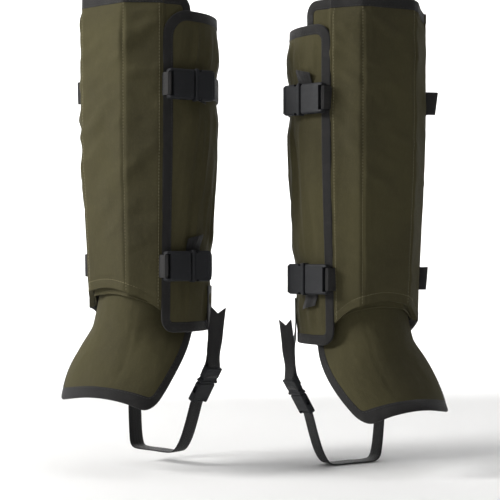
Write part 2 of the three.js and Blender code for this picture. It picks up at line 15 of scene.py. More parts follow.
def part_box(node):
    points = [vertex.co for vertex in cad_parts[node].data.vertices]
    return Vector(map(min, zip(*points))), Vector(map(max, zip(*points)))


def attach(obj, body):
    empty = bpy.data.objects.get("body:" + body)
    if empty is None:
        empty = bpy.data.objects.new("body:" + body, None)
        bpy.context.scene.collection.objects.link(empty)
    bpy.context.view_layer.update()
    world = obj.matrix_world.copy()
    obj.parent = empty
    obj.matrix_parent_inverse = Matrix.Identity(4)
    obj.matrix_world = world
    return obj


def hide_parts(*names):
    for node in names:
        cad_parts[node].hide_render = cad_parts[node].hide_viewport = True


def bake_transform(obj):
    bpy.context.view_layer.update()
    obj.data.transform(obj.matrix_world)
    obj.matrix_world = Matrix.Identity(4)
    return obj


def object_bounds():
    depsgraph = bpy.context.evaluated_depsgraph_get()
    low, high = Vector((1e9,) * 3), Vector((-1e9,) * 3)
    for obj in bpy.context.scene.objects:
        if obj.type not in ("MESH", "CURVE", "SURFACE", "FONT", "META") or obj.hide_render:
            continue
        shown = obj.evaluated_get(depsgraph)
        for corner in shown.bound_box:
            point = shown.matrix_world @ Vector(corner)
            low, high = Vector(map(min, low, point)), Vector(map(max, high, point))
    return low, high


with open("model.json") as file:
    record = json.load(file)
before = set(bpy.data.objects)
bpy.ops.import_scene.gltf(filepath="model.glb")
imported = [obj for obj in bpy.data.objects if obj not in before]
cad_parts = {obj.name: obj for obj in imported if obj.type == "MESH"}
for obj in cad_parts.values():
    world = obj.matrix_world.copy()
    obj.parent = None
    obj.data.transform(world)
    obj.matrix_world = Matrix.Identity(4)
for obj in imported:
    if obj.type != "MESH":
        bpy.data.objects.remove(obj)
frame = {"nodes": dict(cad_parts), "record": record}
CAD_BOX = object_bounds()

MM = 0.001
SIDES = ("left", "right")
RECORD = frame["record"]
JOINTS = {joint["name"]: joint for joint in RECORD["behaviour"]["joints"]}
OPENINGS = {opening["name"]: opening["box_m"] for opening in RECORD["physics"]["openings"]}

# The ground lies this far under the frame's origin
ORIGIN_HEIGHT = 0.240

# Section of the shaft, and how it narrows towards the ankle
FRONT_FACET = 72 * MM
SIDE_FACET = 73.2 * MM
SIDE_FACET_TURN = 45
CALF_RADIUS = 74.2 * MM
FRONT_CORNER = 23.6
SIDE_CORNER = 54.6
RIDGE_SOFTNESS = 2.2
ANKLE_NARROWING = 0.12
NARROWING_TOP = 400 * MM
NARROWING_BOTTOM = 140 * MM

# Edges of the panels
SHIN_TOP = 508 * MM
SHIN_TOP_SIDE_DROP = 8 * MM
HEM_FRONT = 195 * MM
HEM_SIDE_DROP = 23 * MM
CALF_TOP_EDGE = 487 * MM
CALF_TOP_BACK_DROP = 12 * MM
CALF_TOP_RISE_START = 150
CALF_TOP_RISE_END = 235
CALF_BOTTOM = 149 * MM
CALF_EDGE = 303.4
HINGE_ANGLE = 108
UNDERLAP_EDGE = -82
UNDERLAP_START = -57
UNDERLAP_CORNER = 14 * MM
CALF_BOTTOM_CORNER = 14 * MM

# Layers
PANEL = 1.8 * MM
SHIN_SEAM_OUTSIDE = 1.0 * MM
SHIN_SEAM_INSIDE = 4.6 * MM
SHIN_PADDING = 6 * MM
SHIN_TOP_OUTSIDE = 1.0 * MM
SHIN_TOP_INSIDE = 4.0 * MM
UNDERLAP_OUTSIDE = 3.7 * MM
UNDERLAP_INSIDE = 5.1 * MM
TAPE = 9.5 * MM
TAPE_LIP = 0.5 * MM
TAPE_STITCH = TAPE - 1.6 * MM
EDGE_STEP = 3 * MM
STITCH_RADIUS = 0.26 * MM
CALF_TAPE_HALF = 1.5 * MM
FLAP_TAPE_HALF = 1.6 * MM
STRAP_WIDTH = 25 * MM
STRAP = 1.5 * MM
STRAP_LIFT = 0.8 * MM
FOLDED_STRAP = 1.2 * MM

STRAP_HEIGHTS = {"upper": 409 * MM, "lower": 218 * MM}
BUCKLE_FOOT_ANGLE = 288
SEAM_TURN_BLEND = 28
SEAM_TURN_END = 100

# The flap's hinge, from which each gaiter's height on its leg is read
FLAP_HINGE_HEIGHT = 193 * MM

# How the two gaiters sit differently: how far the foot and the shin's seams are turned, in degrees,
# how much higher the shin's top edge is pulled, the round corner of the wrap's top, and how far
# the flap's inner side is drawn back round the ankle
STANCES = {
    "left": {
        "foot_turn": 4,
        "seam_turn": -5.5,
        "shin_rise": 5 * MM,
        "wrap_corner": 17 * MM,
        "flap_sweep": 17 * MM,
    },
    "right": {
        "foot_turn": -11.7,
        "seam_turn": 0,
        "shin_rise": -4.5 * MM,
        "wrap_corner": 28 * MM,
        "flap_sweep": 28 * MM,
    },
}


# ------------------------------------------------------------------------------------------------
# Numbers

def smooth(value, low, high):
    share = np.clip((np.asarray(value, float) - low) / (high - low), 0, 1)
    return share * share * (3 - 2 * share)


def mix(a, b, share):
    return a + (b - a) * share


def bump(distance, width):
    """1 on a line, falling smoothly to nothing a few widths away from it."""
    return np.exp(-((np.asarray(distance, float) / width) ** 2))


def unit(vectors):
    return vectors / np.linalg.norm(vectors, axis=-1, keepdims=True)


def grain(a, b, size, seed, octaves=3):
    """Smooth noise from about -1 to 1 at each pair of a and b, with features of the given sizes."""
    aa, bb = np.broadcast_arrays(np.asarray(a, float), np.asarray(b, float))
    points = zip((aa / size[0]).ravel(), (bb / size[1]).ravel())
    values = [noise.fractal(Vector((x, y, seed)), 0.9, 2.0, octaves) for x, y in points]
    return np.array(values).reshape(aa.shape)


# ------------------------------------------------------------------------------------------------
# A leg's own coordinates, and the shaft's section

def soft_section():
    """The section's reach at each quarter degree, with its ridges rounded."""
    turns = np.arange(-720, 721) / 4
    size = np.abs(turns)
    front = FRONT_FACET / np.cos(np.radians(np.minimum(size, FRONT_CORNER)))
    side = SIDE_FACET / np.cos(np.radians(np.clip(size, FRONT_CORNER, SIDE_CORNER) - SIDE_FACET_TURN))
    reach = np.where(size <= FRONT_CORNER, front, np.where(size <= SIDE_CORNER, side, CALF_RADIUS))
    window = np.exp(-((np.arange(-40, 41) / 4 / RIDGE_SOFTNESS) ** 2))
    padded = np.pad(reach, 40, mode="wrap")
    return turns, np.convolve(padded, window / window.sum(), mode="valid")


TURNS, REACHES = soft_section()


def narrowing(height):
    return 1 - ANKLE_NARROWING * (1 - smooth(height, NARROWING_BOTTOM, NARROWING_TOP))


def turned(turn, seam_turn):
    """Where an angle on the shin ends up when the shin's ridges are turned, the calf staying put."""
    inner = smooth(turn, UNDERLAP_START, UNDERLAP_START + SEAM_TURN_BLEND)
    outer = 1 - smooth(turn, SIDE_CORNER, SEAM_TURN_END)
    return turn + inner * outer * seam_turn


def shaft_point(angle, inset, height, seam_turn=0.0):
    """Points on the shaft, as u, v, height, with the shin's ridges turned by seam_turn degrees."""
    turn = (np.asarray(angle, float) + 180) % 360 - 180
    reach = (np.interp(turn, TURNS, REACHES) - inset) * narrowing(height)
    radians = np.radians(turned(turn, seam_turn))
    return np.stack(np.broadcast_arrays(reach * np.sin(radians), -reach * np.cos(radians), height), -1)


def arc(angle):
    """Length along the section, from the front, for the weave and for distances on the cloth."""
    return np.radians(angle) * CALF_RADIUS


def angle_of(length):
    return np.degrees(length / CALF_RADIUS)


class Leg:
    """One gaiter's place in the frame, read from the record's own openings and hinge."""

    def __init__(self, side):
        self.side = side
        low, high = OPENINGS[f"{side}_leg_tube"]
        self.axis = np.array([(low[0] + high[0]) / 2, (low[1] + high[1]) / 2])
        outer = np.array(JOINTS[f"{side}_flap_lift"]["axis"][:2], float)
        outer *= np.sign(outer[0] * self.axis[0])
        self.outer = outer
        self.back = np.array([-outer[1], outer[0]]) * np.sign(outer[0])
        self.seed = 10.0 if side == "left" else 40.0
        self.lift = JOINTS[f"{side}_flap_lift"]["pos_m"][2] + ORIGIN_HEIGHT - FLAP_HINGE_HEIGHT
        stance = STANCES[side]
        self.foot_turn = stance["foot_turn"]
        self.seam_turn = stance["seam_turn"]
        self.shin_rise = stance["shin_rise"]
        self.wrap_corner = stance["wrap_corner"]
        self.flap_sweep = stance["flap_sweep"]

    def world(self, points):
        points = np.asarray(points, float)
        flat = self.axis + points[..., :1] * self.outer + points[..., 1:2] * self.back
        return np.concatenate([flat, points[..., 2:] - ORIGIN_HEIGHT + self.lift], -1)

    def place(self, arcs, heights, inset):
        """The map of a piece cut for the shaft: length round the section and height, to the world."""
        return self.world(shaft_point(angle_of(arcs), inset, heights, self.seam_turn))


LEGS = {side: Leg(side) for side in SIDES}


# ------------------------------------------------------------------------------------------------
# Meshes

def linked(name, data):
    """An object in the scene from a mesh, a light or a camera."""
    made = bpy.data.objects.new(name, data)
    bpy.context.scene.collection.objects.link(made)
    return made


def mesh_object(points, faces, materials, cloth=None, face_material=None, smooth_angle=40):
    """A closed mesh facing out. cloth is each point's place on the flat cloth, which the weave follows."""
    mesh = bpy.data.meshes.new("made")
    points = np.asarray(points, float).reshape(-1, 3)
    fans = [(face[0], face[i], face[i + 1]) for face in faces for i in range(1, len(face) - 1)]
    a, b, c = (points[[fan[k] for fan in fans]] - points[0] for k in range(3))
    if np.einsum("ij,ij->", a, np.cross(b, c)) < 0:
        faces = [tuple(reversed(face)) for face in faces]
    mesh.from_pydata(points.tolist(), [], faces)
    for material in materials:
        mesh.materials.append(material)
    if face_material is not None:
        mesh.polygons.foreach_set("material_index", np.asarray(face_material, dtype=np.int32))
    if cloth is not None:
        attribute = mesh.attributes.new("cloth", "FLOAT_VECTOR", "POINT")
        attribute.data.foreach_set("vector", np.asarray(cloth, float).reshape(-1).astype(np.float32))
    mesh.validate()
    mesh.shade_smooth()
    mesh.set_sharp_from_angle(angle=math.radians(smooth_angle))
    return linked("made", mesh)


def grid_faces(index):
    """The faces between the rows and columns of a grid of point numbers."""
    corners = (index[:-1, :-1], index[:-1, 1:], index[1:, 1:], index[1:, :-1])
    return np.stack([corner.ravel() for corner in corners], -1).tolist()


def tube_faces(count, around):
    """The sides of a tube: a grid whose last column is its first one again."""
    index = np.arange(count * around).reshape(count, around)
    return grid_faces(np.concatenate([index, index[:, :1]], axis=1))


def shell(place, across, along, outside, inside, materials, cloth=None):
    """A sheet with thickness: an outer and an inner grid joined round their rim."""
    points = [place(across, along, inset).reshape(-1, 3) for inset in (outside, inside)]
    index = np.arange(across.size).reshape(across.shape)
    front = grid_faces(index)
    back = [face[::-1] for face in grid_faces(index + across.size)]
    rim = np.concatenate([index[0], index[1:, -1], index[-1, -2::-1], index[-2:0:-1, 0]])
    after = np.roll(rim, -1)
    edge = np.stack([after, rim, rim + across.size, after + across.size], -1).tolist()
    which = [0] * len(front) + [len(materials) - 1] * len(back) + [0] * len(edge)
    flat = np.stack([across, along, np.zeros_like(across)], -1) if cloth is None else cloth
    flat = np.concatenate([flat.reshape(-1, 3)] * 2)
    return mesh_object(np.concatenate(points), front + back + edge, materials, flat, which)


def tube(rings, materials, cloth=None, smooth_angle=40):
    """A section swept along a route: rings is an array of route points by section points."""
    count, around = rings.shape[:2]
    ends = [list(range(around)), list(reversed(range((count - 1) * around, count * around)))]
    return mesh_object(rings, tube_faces(count, around) + ends, materials, cloth, None, smooth_angle)


def arc_lengths(points):
    steps = np.linalg.norm(np.diff(points, axis=0), axis=1)
    return np.concatenate([[0], np.cumsum(steps)])


def evenly(points, spacing):
    """The same polyline with points at an even spacing."""
    lengths = arc_lengths(points)
    count = max(2, int(round(lengths[-1] / spacing)) + 1)
    wanted = np.linspace(0, lengths[-1], count)
    return np.stack([np.interp(wanted, lengths, points[:, k]) for k in range(points.shape[1])], -1)


def spline(points, spacing):
    """A smooth curve through the points, at an even spacing."""
    points = np.asarray(points, float)
    ends = np.concatenate([[2 * points[0] - points[1]], points, [2 * points[-1] - points[-2]]])
    shares = np.linspace(0, 1, 16, endpoint=False)[:, None]
    parts = []
    for p0, p1, p2, p3 in zip(ends, ends[1:], ends[2:], ends[3:]):
        a = 2 * p1 + shares * (p2 - p0) + shares ** 2 * (2 * p0 - 5 * p1 + 4 * p2 - p3)
        parts.append((a + shares ** 3 * (3 * p1 - p0 - 3 * p2 + p3)) / 2)
    return evenly(np.concatenate(parts + [points[-1:]]), spacing)


def join(made):
    """One object from several, with the first one's materials."""
    bpy.ops.object.select_all(action="DESELECT")
    for each in made:
        each.select_set(True)
    bpy.context.view_layer.objects.active = made[0]
    bpy.ops.object.join()
    return made[0]


# ------------------------------------------------------------------------------------------------
# Node materials

class Nodes:
    """A material and short ways to add its nodes."""

    def __init__(self, name, roughness, specular, sheen=None):
        self.material = bpy.data.materials.new(name)
        self.material.use_nodes = True
        self.tree = self.material.node_tree
        self.shader = self.tree.nodes["Principled BSDF"]
        self.shader.inputs["Roughness"].default_value = roughness
        self.shader.inputs["Specular IOR Level"].default_value = specular
        if sheen is not None:
            self.shader.inputs["Sheen Weight"].default_value = sheen[0]
            self.shader.inputs["Sheen Roughness"].default_value = sheen[1]

    def add(self, kind, links=None, **values):
        node = self.tree.nodes.new(kind)
        for key, value in values.items():
            setattr(node, key, value)
        for key, value in (links or {}).items():
            if isinstance(value, bpy.types.NodeSocket):
                self.tree.links.new(value, node.inputs[key])
            else:
                node.inputs[key].default_value = value
        return node

    def maths(self, operation, a, b=0.0, c=0.0):
        node = self.add("ShaderNodeMath", {0: a, 1: b, 2: c}, operation=operation)
        return node.outputs[0]

    def blend(self, share, a, b):
        return self.add("ShaderNodeMix", {0: share, 6: a, 7: b}, data_type="RGBA").outputs[2]

    def ramp(self, value, low, high, start=0.0, end=1.0):
        links = {0: value, 1: low, 2: high, 3: start, 4: end}
        return self.add("ShaderNodeMapRange", links, clamp=True).outputs[0]

    def noise(self, vector, scale, detail=3.0, roughness=0.55):
        links = {"Vector": vector, "Scale": scale, "Detail": detail, "Roughness": roughness}
        return self.add("ShaderNodeTexNoise", links).outputs["Fac"]

    def drawn_out(self, vector, scale):
        return self.add("ShaderNodeMapping", {0: vector, 3: scale}).outputs[0]

    def position(self):
        return self.add("ShaderNodeTexCoord").outputs["Object"]

    def cloth(self):
        return self.add("ShaderNodeAttribute", attribute_name="cloth").outputs["Vector"]

    def bump(self, height, strength, distance, normal=None):
        links = {"Strength": strength, "Distance": distance, "Height": height}
        if normal is not None:
            links["Normal"] = normal
        return self.add("ShaderNodeBump", links).outputs[0]

    def finish(self, colour=None, roughness=None, normal=None):
        for key, value in (("Base Color", colour), ("Roughness", roughness), ("Normal", normal)):
            if value is not None:
                self.tree.links.new(value, self.shader.inputs[key])
        return self.material


def srgb(red, green, blue):
    """Linear colour of a screen colour from 0 to 255."""
    values = [c / 255 for c in (red, green, blue)]
    return tuple(c / 12.92 if c < 0.04045 else ((c + 0.055) / 1.055) ** 2.4 for c in values) + (1.0,)


def yarns(nodes, vector, across, along):
    """A plain weave: its height from 0 to 1, and which yarn lies on top."""
    axes = nodes.add("ShaderNodeSeparateXYZ", {0: vector})
    x = nodes.maths("MULTIPLY", axes.outputs[0], 1 / across)
    y = nodes.maths("MULTIPLY", axes.outputs[1], 1 / along)
    warp = nodes.maths("ABSOLUTE", nodes.maths("SINE", nodes.maths("MULTIPLY", x, math.pi)))
    weft = nodes.maths("ABSOLUTE", nodes.maths("SINE", nodes.maths("MULTIPLY", y, math.pi)))
    cells = nodes.maths("ADD", nodes.maths("FLOOR", x), nodes.maths("FLOOR", y))
    top = nodes.maths("PINGPONG", cells, 1.0)
    height = nodes.maths("ADD", nodes.maths("MULTIPLY", warp, top),
                         nodes.maths("MULTIPLY", weft, nodes.maths("SUBTRACT", 1.0, top)))
    return height, top


def fabric_material(name, base, light, dark, sheen):
    """Ballistic nylon: a tight basket weave with painted shade between its yarns, faded where it rubs and a
    little dusty low down.
    """
    nodes = Nodes(name, 0.8, 0.22, (sheen, 0.45))
    nodes.shader.inputs["Sheen Tint"].default_value = srgb(150, 142, 112)
    place = nodes.position()
    height, top = yarns(nodes, nodes.cloth(), 0.95 * MM, 0.8 * MM)
    patches = nodes.noise(place, 11.0, 3.0)
    streaks = nodes.noise(nodes.drawn_out(nodes.cloth(), (500, 130, 1)), 1.0, 3.0)
    fine = nodes.noise(place, 900.0, 2.0)
    colour = nodes.blend(nodes.ramp(patches, 0.35, 0.68), dark, base)
    colour = nodes.blend(nodes.maths("MULTIPLY", nodes.ramp(streaks, 0.5, 0.75), 0.16), colour, light)
    colour = nodes.blend(nodes.maths("MULTIPLY", nodes.ramp(fine, 0.5, 0.72), 0.22), colour, light)
    # Painted shade: the colour is darkened where the yarns dip, between them.
    weave_gap_shade = nodes.ramp(height, 0.0, 0.55, 0.42, 0.0)
    colour = nodes.blend(weave_gap_shade, colour, dark)
    rough = nodes.maths("ADD", patches, nodes.maths("MULTIPLY", top, 0.1))
    roughness = nodes.ramp(rough, 0.3, 0.8, 0.74, 0.9)
    weave = nodes.bump(height, 0.65, 0.22 * MM)
    soft = nodes.bump(nodes.noise(place, 55.0, 4.0), 0.35, 1.4 * MM, weave)
    return nodes.finish(colour, roughness, soft)


def tape_material():
    """Folded binding tape: ribs across its width with painted shade between them, a lighter worn edge in
    places.
    """
    nodes = Nodes("black_tape", 0.78, 0.25, (0.18, 0.4))
    place = nodes.position()
    ribs, _ = yarns(nodes, nodes.cloth(), 1.1 * MM, 0.75 * MM)
    wear = nodes.ramp(nodes.noise(place, 60.0, 5.0), 0.5, 0.8)
    colour = nodes.blend(wear, srgb(28, 27, 27), srgb(47, 46, 45))
    # Painted shade: the colour is darkened between the ribs.
    colour = nodes.blend(nodes.ramp(ribs, 0.0, 0.5, 0.4, 0.0), colour, srgb(17, 17, 18))
    roughness = nodes.ramp(wear, 0.0, 1.0, 0.72, 0.88)
    return nodes.finish(colour, roughness, nodes.bump(ribs, 0.6, 0.2 * MM))


def webbing_material():
    """Flat woven webbing: a coarse herringbone with painted shade in its low parts, and a dense edge."""
    nodes = Nodes("black_webbing", 0.68, 0.3, (0.12, 0.4))
    axes = nodes.add("ShaderNodeSeparateXYZ", {0: nodes.cloth()})
    across = nodes.maths("MULTIPLY", axes.outputs[1], 1 / (4.2 * MM))
    along = nodes.maths("MULTIPLY", axes.outputs[0], 1 / (1.5 * MM))
    zigzag = nodes.maths("PINGPONG", across, 0.5)
    phase = nodes.maths("ADD", along, nodes.maths("MULTIPLY", zigzag, 3.0))
    rib = nodes.maths("SINE", nodes.maths("MULTIPLY", phase, 2 * math.pi))
    height = nodes.ramp(rib, -1.0, 1.0)
    wear = nodes.ramp(nodes.noise(nodes.position(), 45.0, 5.0), 0.48, 0.8)
    colour = nodes.blend(wear, srgb(27, 26, 27), srgb(46, 45, 45))
    # Painted shade: the colour is darkened where the weave dips.
    colour = nodes.blend(nodes.ramp(height, 0.0, 0.6, 0.45, 0.0), colour, srgb(14, 14, 15))
    return nodes.finish(colour, nodes.ramp(wear, 0.0, 1.0, 0.62, 0.8), nodes.bump(height, 0.7, 0.3 * MM))


def plastic_material():
    """Moulded acetal: satin, finely textured, with scuffs that show paler."""
    nodes = Nodes("buckle_plastic", 0.6, 0.22)
    place = nodes.position()
    fine = nodes.noise(place, 1400.0, 2.0)
    scuffs = nodes.noise(nodes.drawn_out(place, (90, 90, 420)), 1.0, 6.0, 0.7)
    colour = nodes.blend(nodes.ramp(scuffs, 0.56, 0.72, 0.0, 0.6), srgb(34, 35, 38), srgb(56, 57, 60))
    patches = nodes.noise(place, 40.0, 2.0)
    colour = nodes.blend(nodes.ramp(patches, 0.3, 0.7, 0.0, 0.5), colour, srgb(28, 29, 31))
    roughness = nodes.ramp(scuffs, 0.4, 0.75, 0.55, 0.75)
    return nodes.finish(colour, roughness, nodes.bump(fine, 0.18, 0.12 * MM))


def thread_material(name, colour_a, colour_b):
    """Twisted sewing thread."""
    nodes = Nodes(name, 0.6, 0.35)
    twist = nodes.noise(nodes.position(), 1600.0, 2.0)
    colour = nodes.blend(nodes.ramp(twist, 0.35, 0.65), colour_a, colour_b)
    return nodes.finish(colour, None, nodes.bump(twist, 0.5, 0.15 * MM))


def plate_material():
    """Smooth smoke-tinted polycarbonate plate, faintly clouded by fine scratches."""
    nodes = Nodes("clear_plate", 0.22, 0.5)
    nodes.shader.inputs["Transmission Weight"].default_value = 0.2
    scratches = nodes.noise(nodes.drawn_out(nodes.position(), (300, 300, 14)), 1.0, 4.0)
    colour = nodes.blend(nodes.ramp(scratches, 0.4, 0.7), srgb(70, 71, 64), srgb(56, 57, 52))
    return nodes.finish(colour, nodes.ramp(scratches, 0.4, 0.7, 0.16, 0.34))


def floor_material():
    """White paper, very slightly uneven."""
    nodes = Nodes("floor_paper", 0.9, 0.1)
    shade = nodes.noise(nodes.position(), 1.2, 2.0)
    return nodes.finish(nodes.blend(nodes.ramp(shade, 0.3, 0.7), srgb(246, 246, 246), srgb(250, 250, 250)))


OLIVE = fabric_material("olive_fabric", srgb(69, 65, 42), srgb(90, 85, 58), srgb(58, 54, 34), 0.08)
LINING = fabric_material("olive_lining", srgb(44, 42, 32), srgb(58, 56, 45), srgb(34, 32, 25), 0.06)
TAPE_CLOTH = tape_material()
WEBBING = webbing_material()
PLASTIC = plastic_material()
OLIVE_THREAD = thread_material("olive_thread", srgb(138, 131, 102), srgb(106, 100, 76))
BLACK_THREAD = thread_material("black_thread", srgb(52, 51, 52), srgb(30, 30, 31))
PLATE_TINTED = plate_material()


# ------------------------------------------------------------------------------------------------
# Edges, as heights at each angle

def corner_drop(distance, radius):
    inwards = radius - np.clip(distance, 0, radius)
    return radius - np.sqrt(radius ** 2 - inwards ** 2)


def shin_line(leg, angle):
    return SHIN_TOP + leg.shin_rise - SHIN_TOP_SIDE_DROP * smooth(angle, FRONT_CORNER, SIDE_CORNER)


def shin_top(leg, angle):
    return shin_line(leg, angle) - corner_drop(arc(angle) - arc(UNDERLAP_EDGE), UNDERLAP_CORNER)


def shin_hem(angle):
    return HEM_FRONT - HEM_SIDE_DROP * np.minimum((np.asarray(angle, float) / SIDE_CORNER) ** 2, 1)


def calf_line(leg, angle):
    rear = CALF_TOP_EDGE - CALF_TOP_BACK_DROP * (1 - smooth(angle, CALF_TOP_RISE_START, CALF_TOP_RISE_END))
    share = smooth(angle, SIDE_CORNER, HINGE_ANGLE)
    return mix(shin_line(leg, SIDE_CORNER), rear, share)


def calf_foot(angle):
    return mix(shin_hem(SIDE_CORNER), CALF_BOTTOM, smooth(angle, SIDE_CORNER, HINGE_ANGLE))


def calf_top(leg, angle):
    return calf_line(leg, angle) - corner_drop(arc(CALF_EDGE) - arc(angle), leg.wrap_corner)


def calf_bottom(angle):
    return calf_foot(angle) + corner_drop(arc(CALF_EDGE) - arc(angle), CALF_BOTTOM_CORNER)


# ------------------------------------------------------------------------------------------------
# Cloth details shared by the pieces


def on_cloth(value, flat):
    """A number, or a function of the place on the flat cloth, as one value for each point."""
    return value(flat[:, 0], flat[:, 1]) if callable(value) else np.full(len(flat), value)


def along_cloth(path, distance):
    """The path moved sideways on the flat cloth, to its left for a distance above nothing."""
    run = unit(np.gradient(path, axis=0))
    return path + np.stack([-run[:, 1], run[:, 0]], -1) * distance


def binding(place, path, middle, half, inward=1):
    """Tape folded over an edge. path is the edge on the flat cloth, and inward says on which side of
    it the cloth lies. middle and half are the inset of the cloth's middle and half the fold's thickness."""
    path = evenly(path, EDGE_STEP)
    run = unit(np.gradient(path, axis=0))
    towards = np.stack([-run[:, 1], run[:, 0]], -1) * inward
    thick = on_cloth(half, path)[:, None]
    turns = np.linspace(0, math.pi, 7)
    inwards = np.concatenate([[TAPE, TAPE - TAPE_LIP], np.zeros(7), [TAPE - TAPE_LIP, TAPE]])
    share = np.concatenate([[0.72, 1], np.cos(turns), [-1, -0.72]])
    reach = np.concatenate([[0, 0], -np.sin(turns), [0, 0]])
    section = inwards + reach * thick
    lengths = arc_lengths(path)[:, None]
    ripple = 1 + 0.07 * np.sin(lengths / (5.2 * MM)) * np.sin(lengths / (17 * MM))
    depth = on_cloth(middle, path)[:, None] - share * thick * ripple
    flat = path[:, None, :] + towards[:, None, :] * section[..., None]
    rings = place(flat[..., 0], flat[..., 1], depth)
    cloth = np.stack(np.broadcast_arrays(lengths, section + share * thick * 0.4, 0.0), -1)
    return tube(rings, [TAPE_CLOTH], cloth)


def stitches(place, path, inset, material, pitch=3.4 * MM, length=2.3 * MM):
    """A row of short raised stitches along a path on the flat cloth."""
    path = evenly(path, pitch)
    run = unit(np.gradient(path, axis=0))
    insets = on_cloth(inset, path)
    around = np.linspace(0, 2 * math.pi, 6, endpoint=False)
    shares = ((-0.5, 0.35), (-0.28, 1.0), (0.28, 1.0), (0.5, 0.35))
    points = []
    for centre, way, depth in zip(path, run, insets):
        side = np.array([-way[1], way[0]])
        for share, fat in shares:
            for turn in around:
                flat = centre + way * share * length + side * math.cos(turn) * STITCH_RADIUS * fat
                points.append((flat[0], flat[1], depth - math.sin(turn) * STITCH_RADIUS * fat))
    points = np.array(points)
    count, step = len(around), len(around) * len(shares)
    one = tube_faces(len(shares), count)
    one += [list(reversed(range(count))), list(range(step - count, step))]
    faces = [[start + k for k in face] for start in range(0, len(points), step) for face in one]
    return mesh_object(place(points[:, 0], points[:, 1], points[:, 2]), faces, [material])


def bends_at_hinge(piece):
    """The piece's place in the world is baked into its mesh."""
    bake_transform(piece)


def finished(leg, name, body, slot, made, *replaced):
    """One piece from made objects. It rides on a body, or with no body its place is baked into its mesh."""
    piece = join(made) if len(made) > 1 else made[0]
    piece.name = piece.data.name = f"{leg.side}_{name}"
    if body is None:
        bends_at_hinge(piece)
    else:
        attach(piece, f"{leg.side}_{body}")
    if replaced:
        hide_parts(*(f"{leg.side}_{node}" for node in replaced))
    return piece


def bound_edge(leg, names, body, place, edge, middle, half, row, replaced, inward=1):
    """Tape round an edge and the row of stitches that holds it, as two pieces."""
    def on_tape(a, b):
        return middle(a, b) - (half(a, b) if callable(half) else half) - 0.05 * MM

    made = [binding(place, edge, middle, half, inward)]
    tape = finished(leg, names[0], body, "black_tape", made, replaced)
    return tape, finished(leg, names[1], body, "black_tape", [stitches(place, row, on_tape, BLACK_THREAD)])


# ------------------------------------------------------------------------------------------------
# Shin: padded panel with three sewn channels, its thin underlap, its tape and its inner hem

CHANNEL_SEAMS = (-SIDE_CORNER, -FRONT_CORNER, FRONT_CORNER, SIDE_CORNER)
HEM_STITCH = 9 * MM
INNER_HEM_ABOVE = 8 * MM
INNER_HEM_DEPTH = 6.8 * MM
INNER_HEM_ROLL = 1.1 * MM
SHIN_FOLD = 1.25 * MM
SHIN_FOLD_SIZE = (62 * MM, 27 * MM)
SHIN_FOLD_SLANT = 0.45
SHIN_FOLD_STEEPNESS = 4.2
SHIN_CROWN = 0.5 * MM
PLATE_OUTSIDE = 1.35 * MM
PLATE_INSIDE = 4.75 * MM


def shin_fullness(arcs, heights):
    """1 where the padding stands full, 0 where it is sewn down."""
    angle = angle_of(arcs)
    seam = sum(bump(arcs - arc(line), 2.4 * MM) for line in CHANNEL_SEAMS)
    hem = bump(heights - shin_hem(angle) - HEM_STITCH, 2.2 * MM)
    edge = bump(heights - shin_hem(angle), 6 * MM)
    return np.clip((1 - seam) * (1 - 0.7 * hem) * (1 - 0.5 * edge), 0, 1)


def shin_under(arcs):
    return 1 - smooth(angle_of(arcs), UNDERLAP_START - 1.5, UNDERLAP_START + 1.8)


def shin_flat_top(leg, arcs, heights):
    """1 under the top binding, where the panel is pressed thin, 0 lower down."""
    return 1 - smooth(shin_line(leg, angle_of(arcs)) - heights, TAPE - 1 * MM, TAPE + 9 * MM)


def shin_waves(leg, arcs, heights):
    return 0.5 * MM * grain(arcs, heights, (20 * MM, 60 * MM), leg.seed + 5)


def plate_cover(leg, arcs, inset):
    """The inset at which the turned shin lies as deep as the given inset of the shin left unturned."""
    turn = angle_of(arcs)
    return inset + np.interp(turn, TURNS, REACHES) - np.interp(turned(turn, leg.seam_turn), TURNS, REACHES)


def shin_outside(leg, arcs, heights):
    full = shin_fullness(arcs, heights)
    aslant = (arcs - SHIN_FOLD_SLANT * heights, heights + SHIN_FOLD_SLANT * arcs)
    upper = mix(0.5, 1, smooth(heights, 240 * MM, 400 * MM))
    folds = SHIN_FOLD_STEEPNESS * grain(*aslant, SHIN_FOLD_SIZE, leg.seed, 2) * upper
    folds = SHIN_FOLD * np.logaddexp(0, folds) - 0.35 * MM
    folds = folds + 0.3 * MM * grain(arcs, heights, (14 * MM, 26 * MM), leg.seed + 3)
    crown = 0.4 * MM + SHIN_CROWN * np.abs(np.cos(np.radians(angle_of(arcs) * 90 / FRONT_CORNER)))
    padded = mix(SHIN_SEAM_OUTSIDE, -crown, full ** 0.6) - folds * (0.6 + 0.4 * full)
    thin = shin_flat_top(leg, arcs, heights)
    padded = mix(padded, SHIN_TOP_OUTSIDE - 0.2 * folds, thin)
    padded = np.minimum(padded, plate_cover(leg, arcs, PLATE_OUTSIDE))
    return mix(padded, UNDERLAP_OUTSIDE - shin_waves(leg, arcs, heights), shin_under(arcs))


def shin_inside(leg, arcs, heights):
    full = shin_fullness(arcs, heights)
    padded = mix(SHIN_SEAM_INSIDE, SHIN_PADDING, full ** 0.6)
    padded = mix(padded, SHIN_TOP_INSIDE, shin_flat_top(leg, arcs, heights))
    padded = np.maximum(padded, plate_cover(leg, arcs, PLATE_INSIDE))
    return mix(padded, UNDERLAP_INSIDE - shin_waves(leg, arcs, heights), shin_under(arcs))


def cloth_grid(start, end, bottom, top, across_step, along_step):
    """Arc lengths and heights of a grid between two angles and two edges."""
    arcs = np.linspace(arc(start), arc(end), int((arc(end) - arc(start)) / across_step) + 1)
    tallest = float(np.max(top(angle_of(arcs)) - bottom(angle_of(arcs))))
    shares = np.linspace(0, 1, int(tallest / along_step) + 1)[:, None]
    low, high = bottom(angle_of(arcs))[None, :], top(angle_of(arcs))[None, :]
    return np.broadcast_to(arcs, (len(shares), len(arcs))).copy(), mix(low, high, shares)


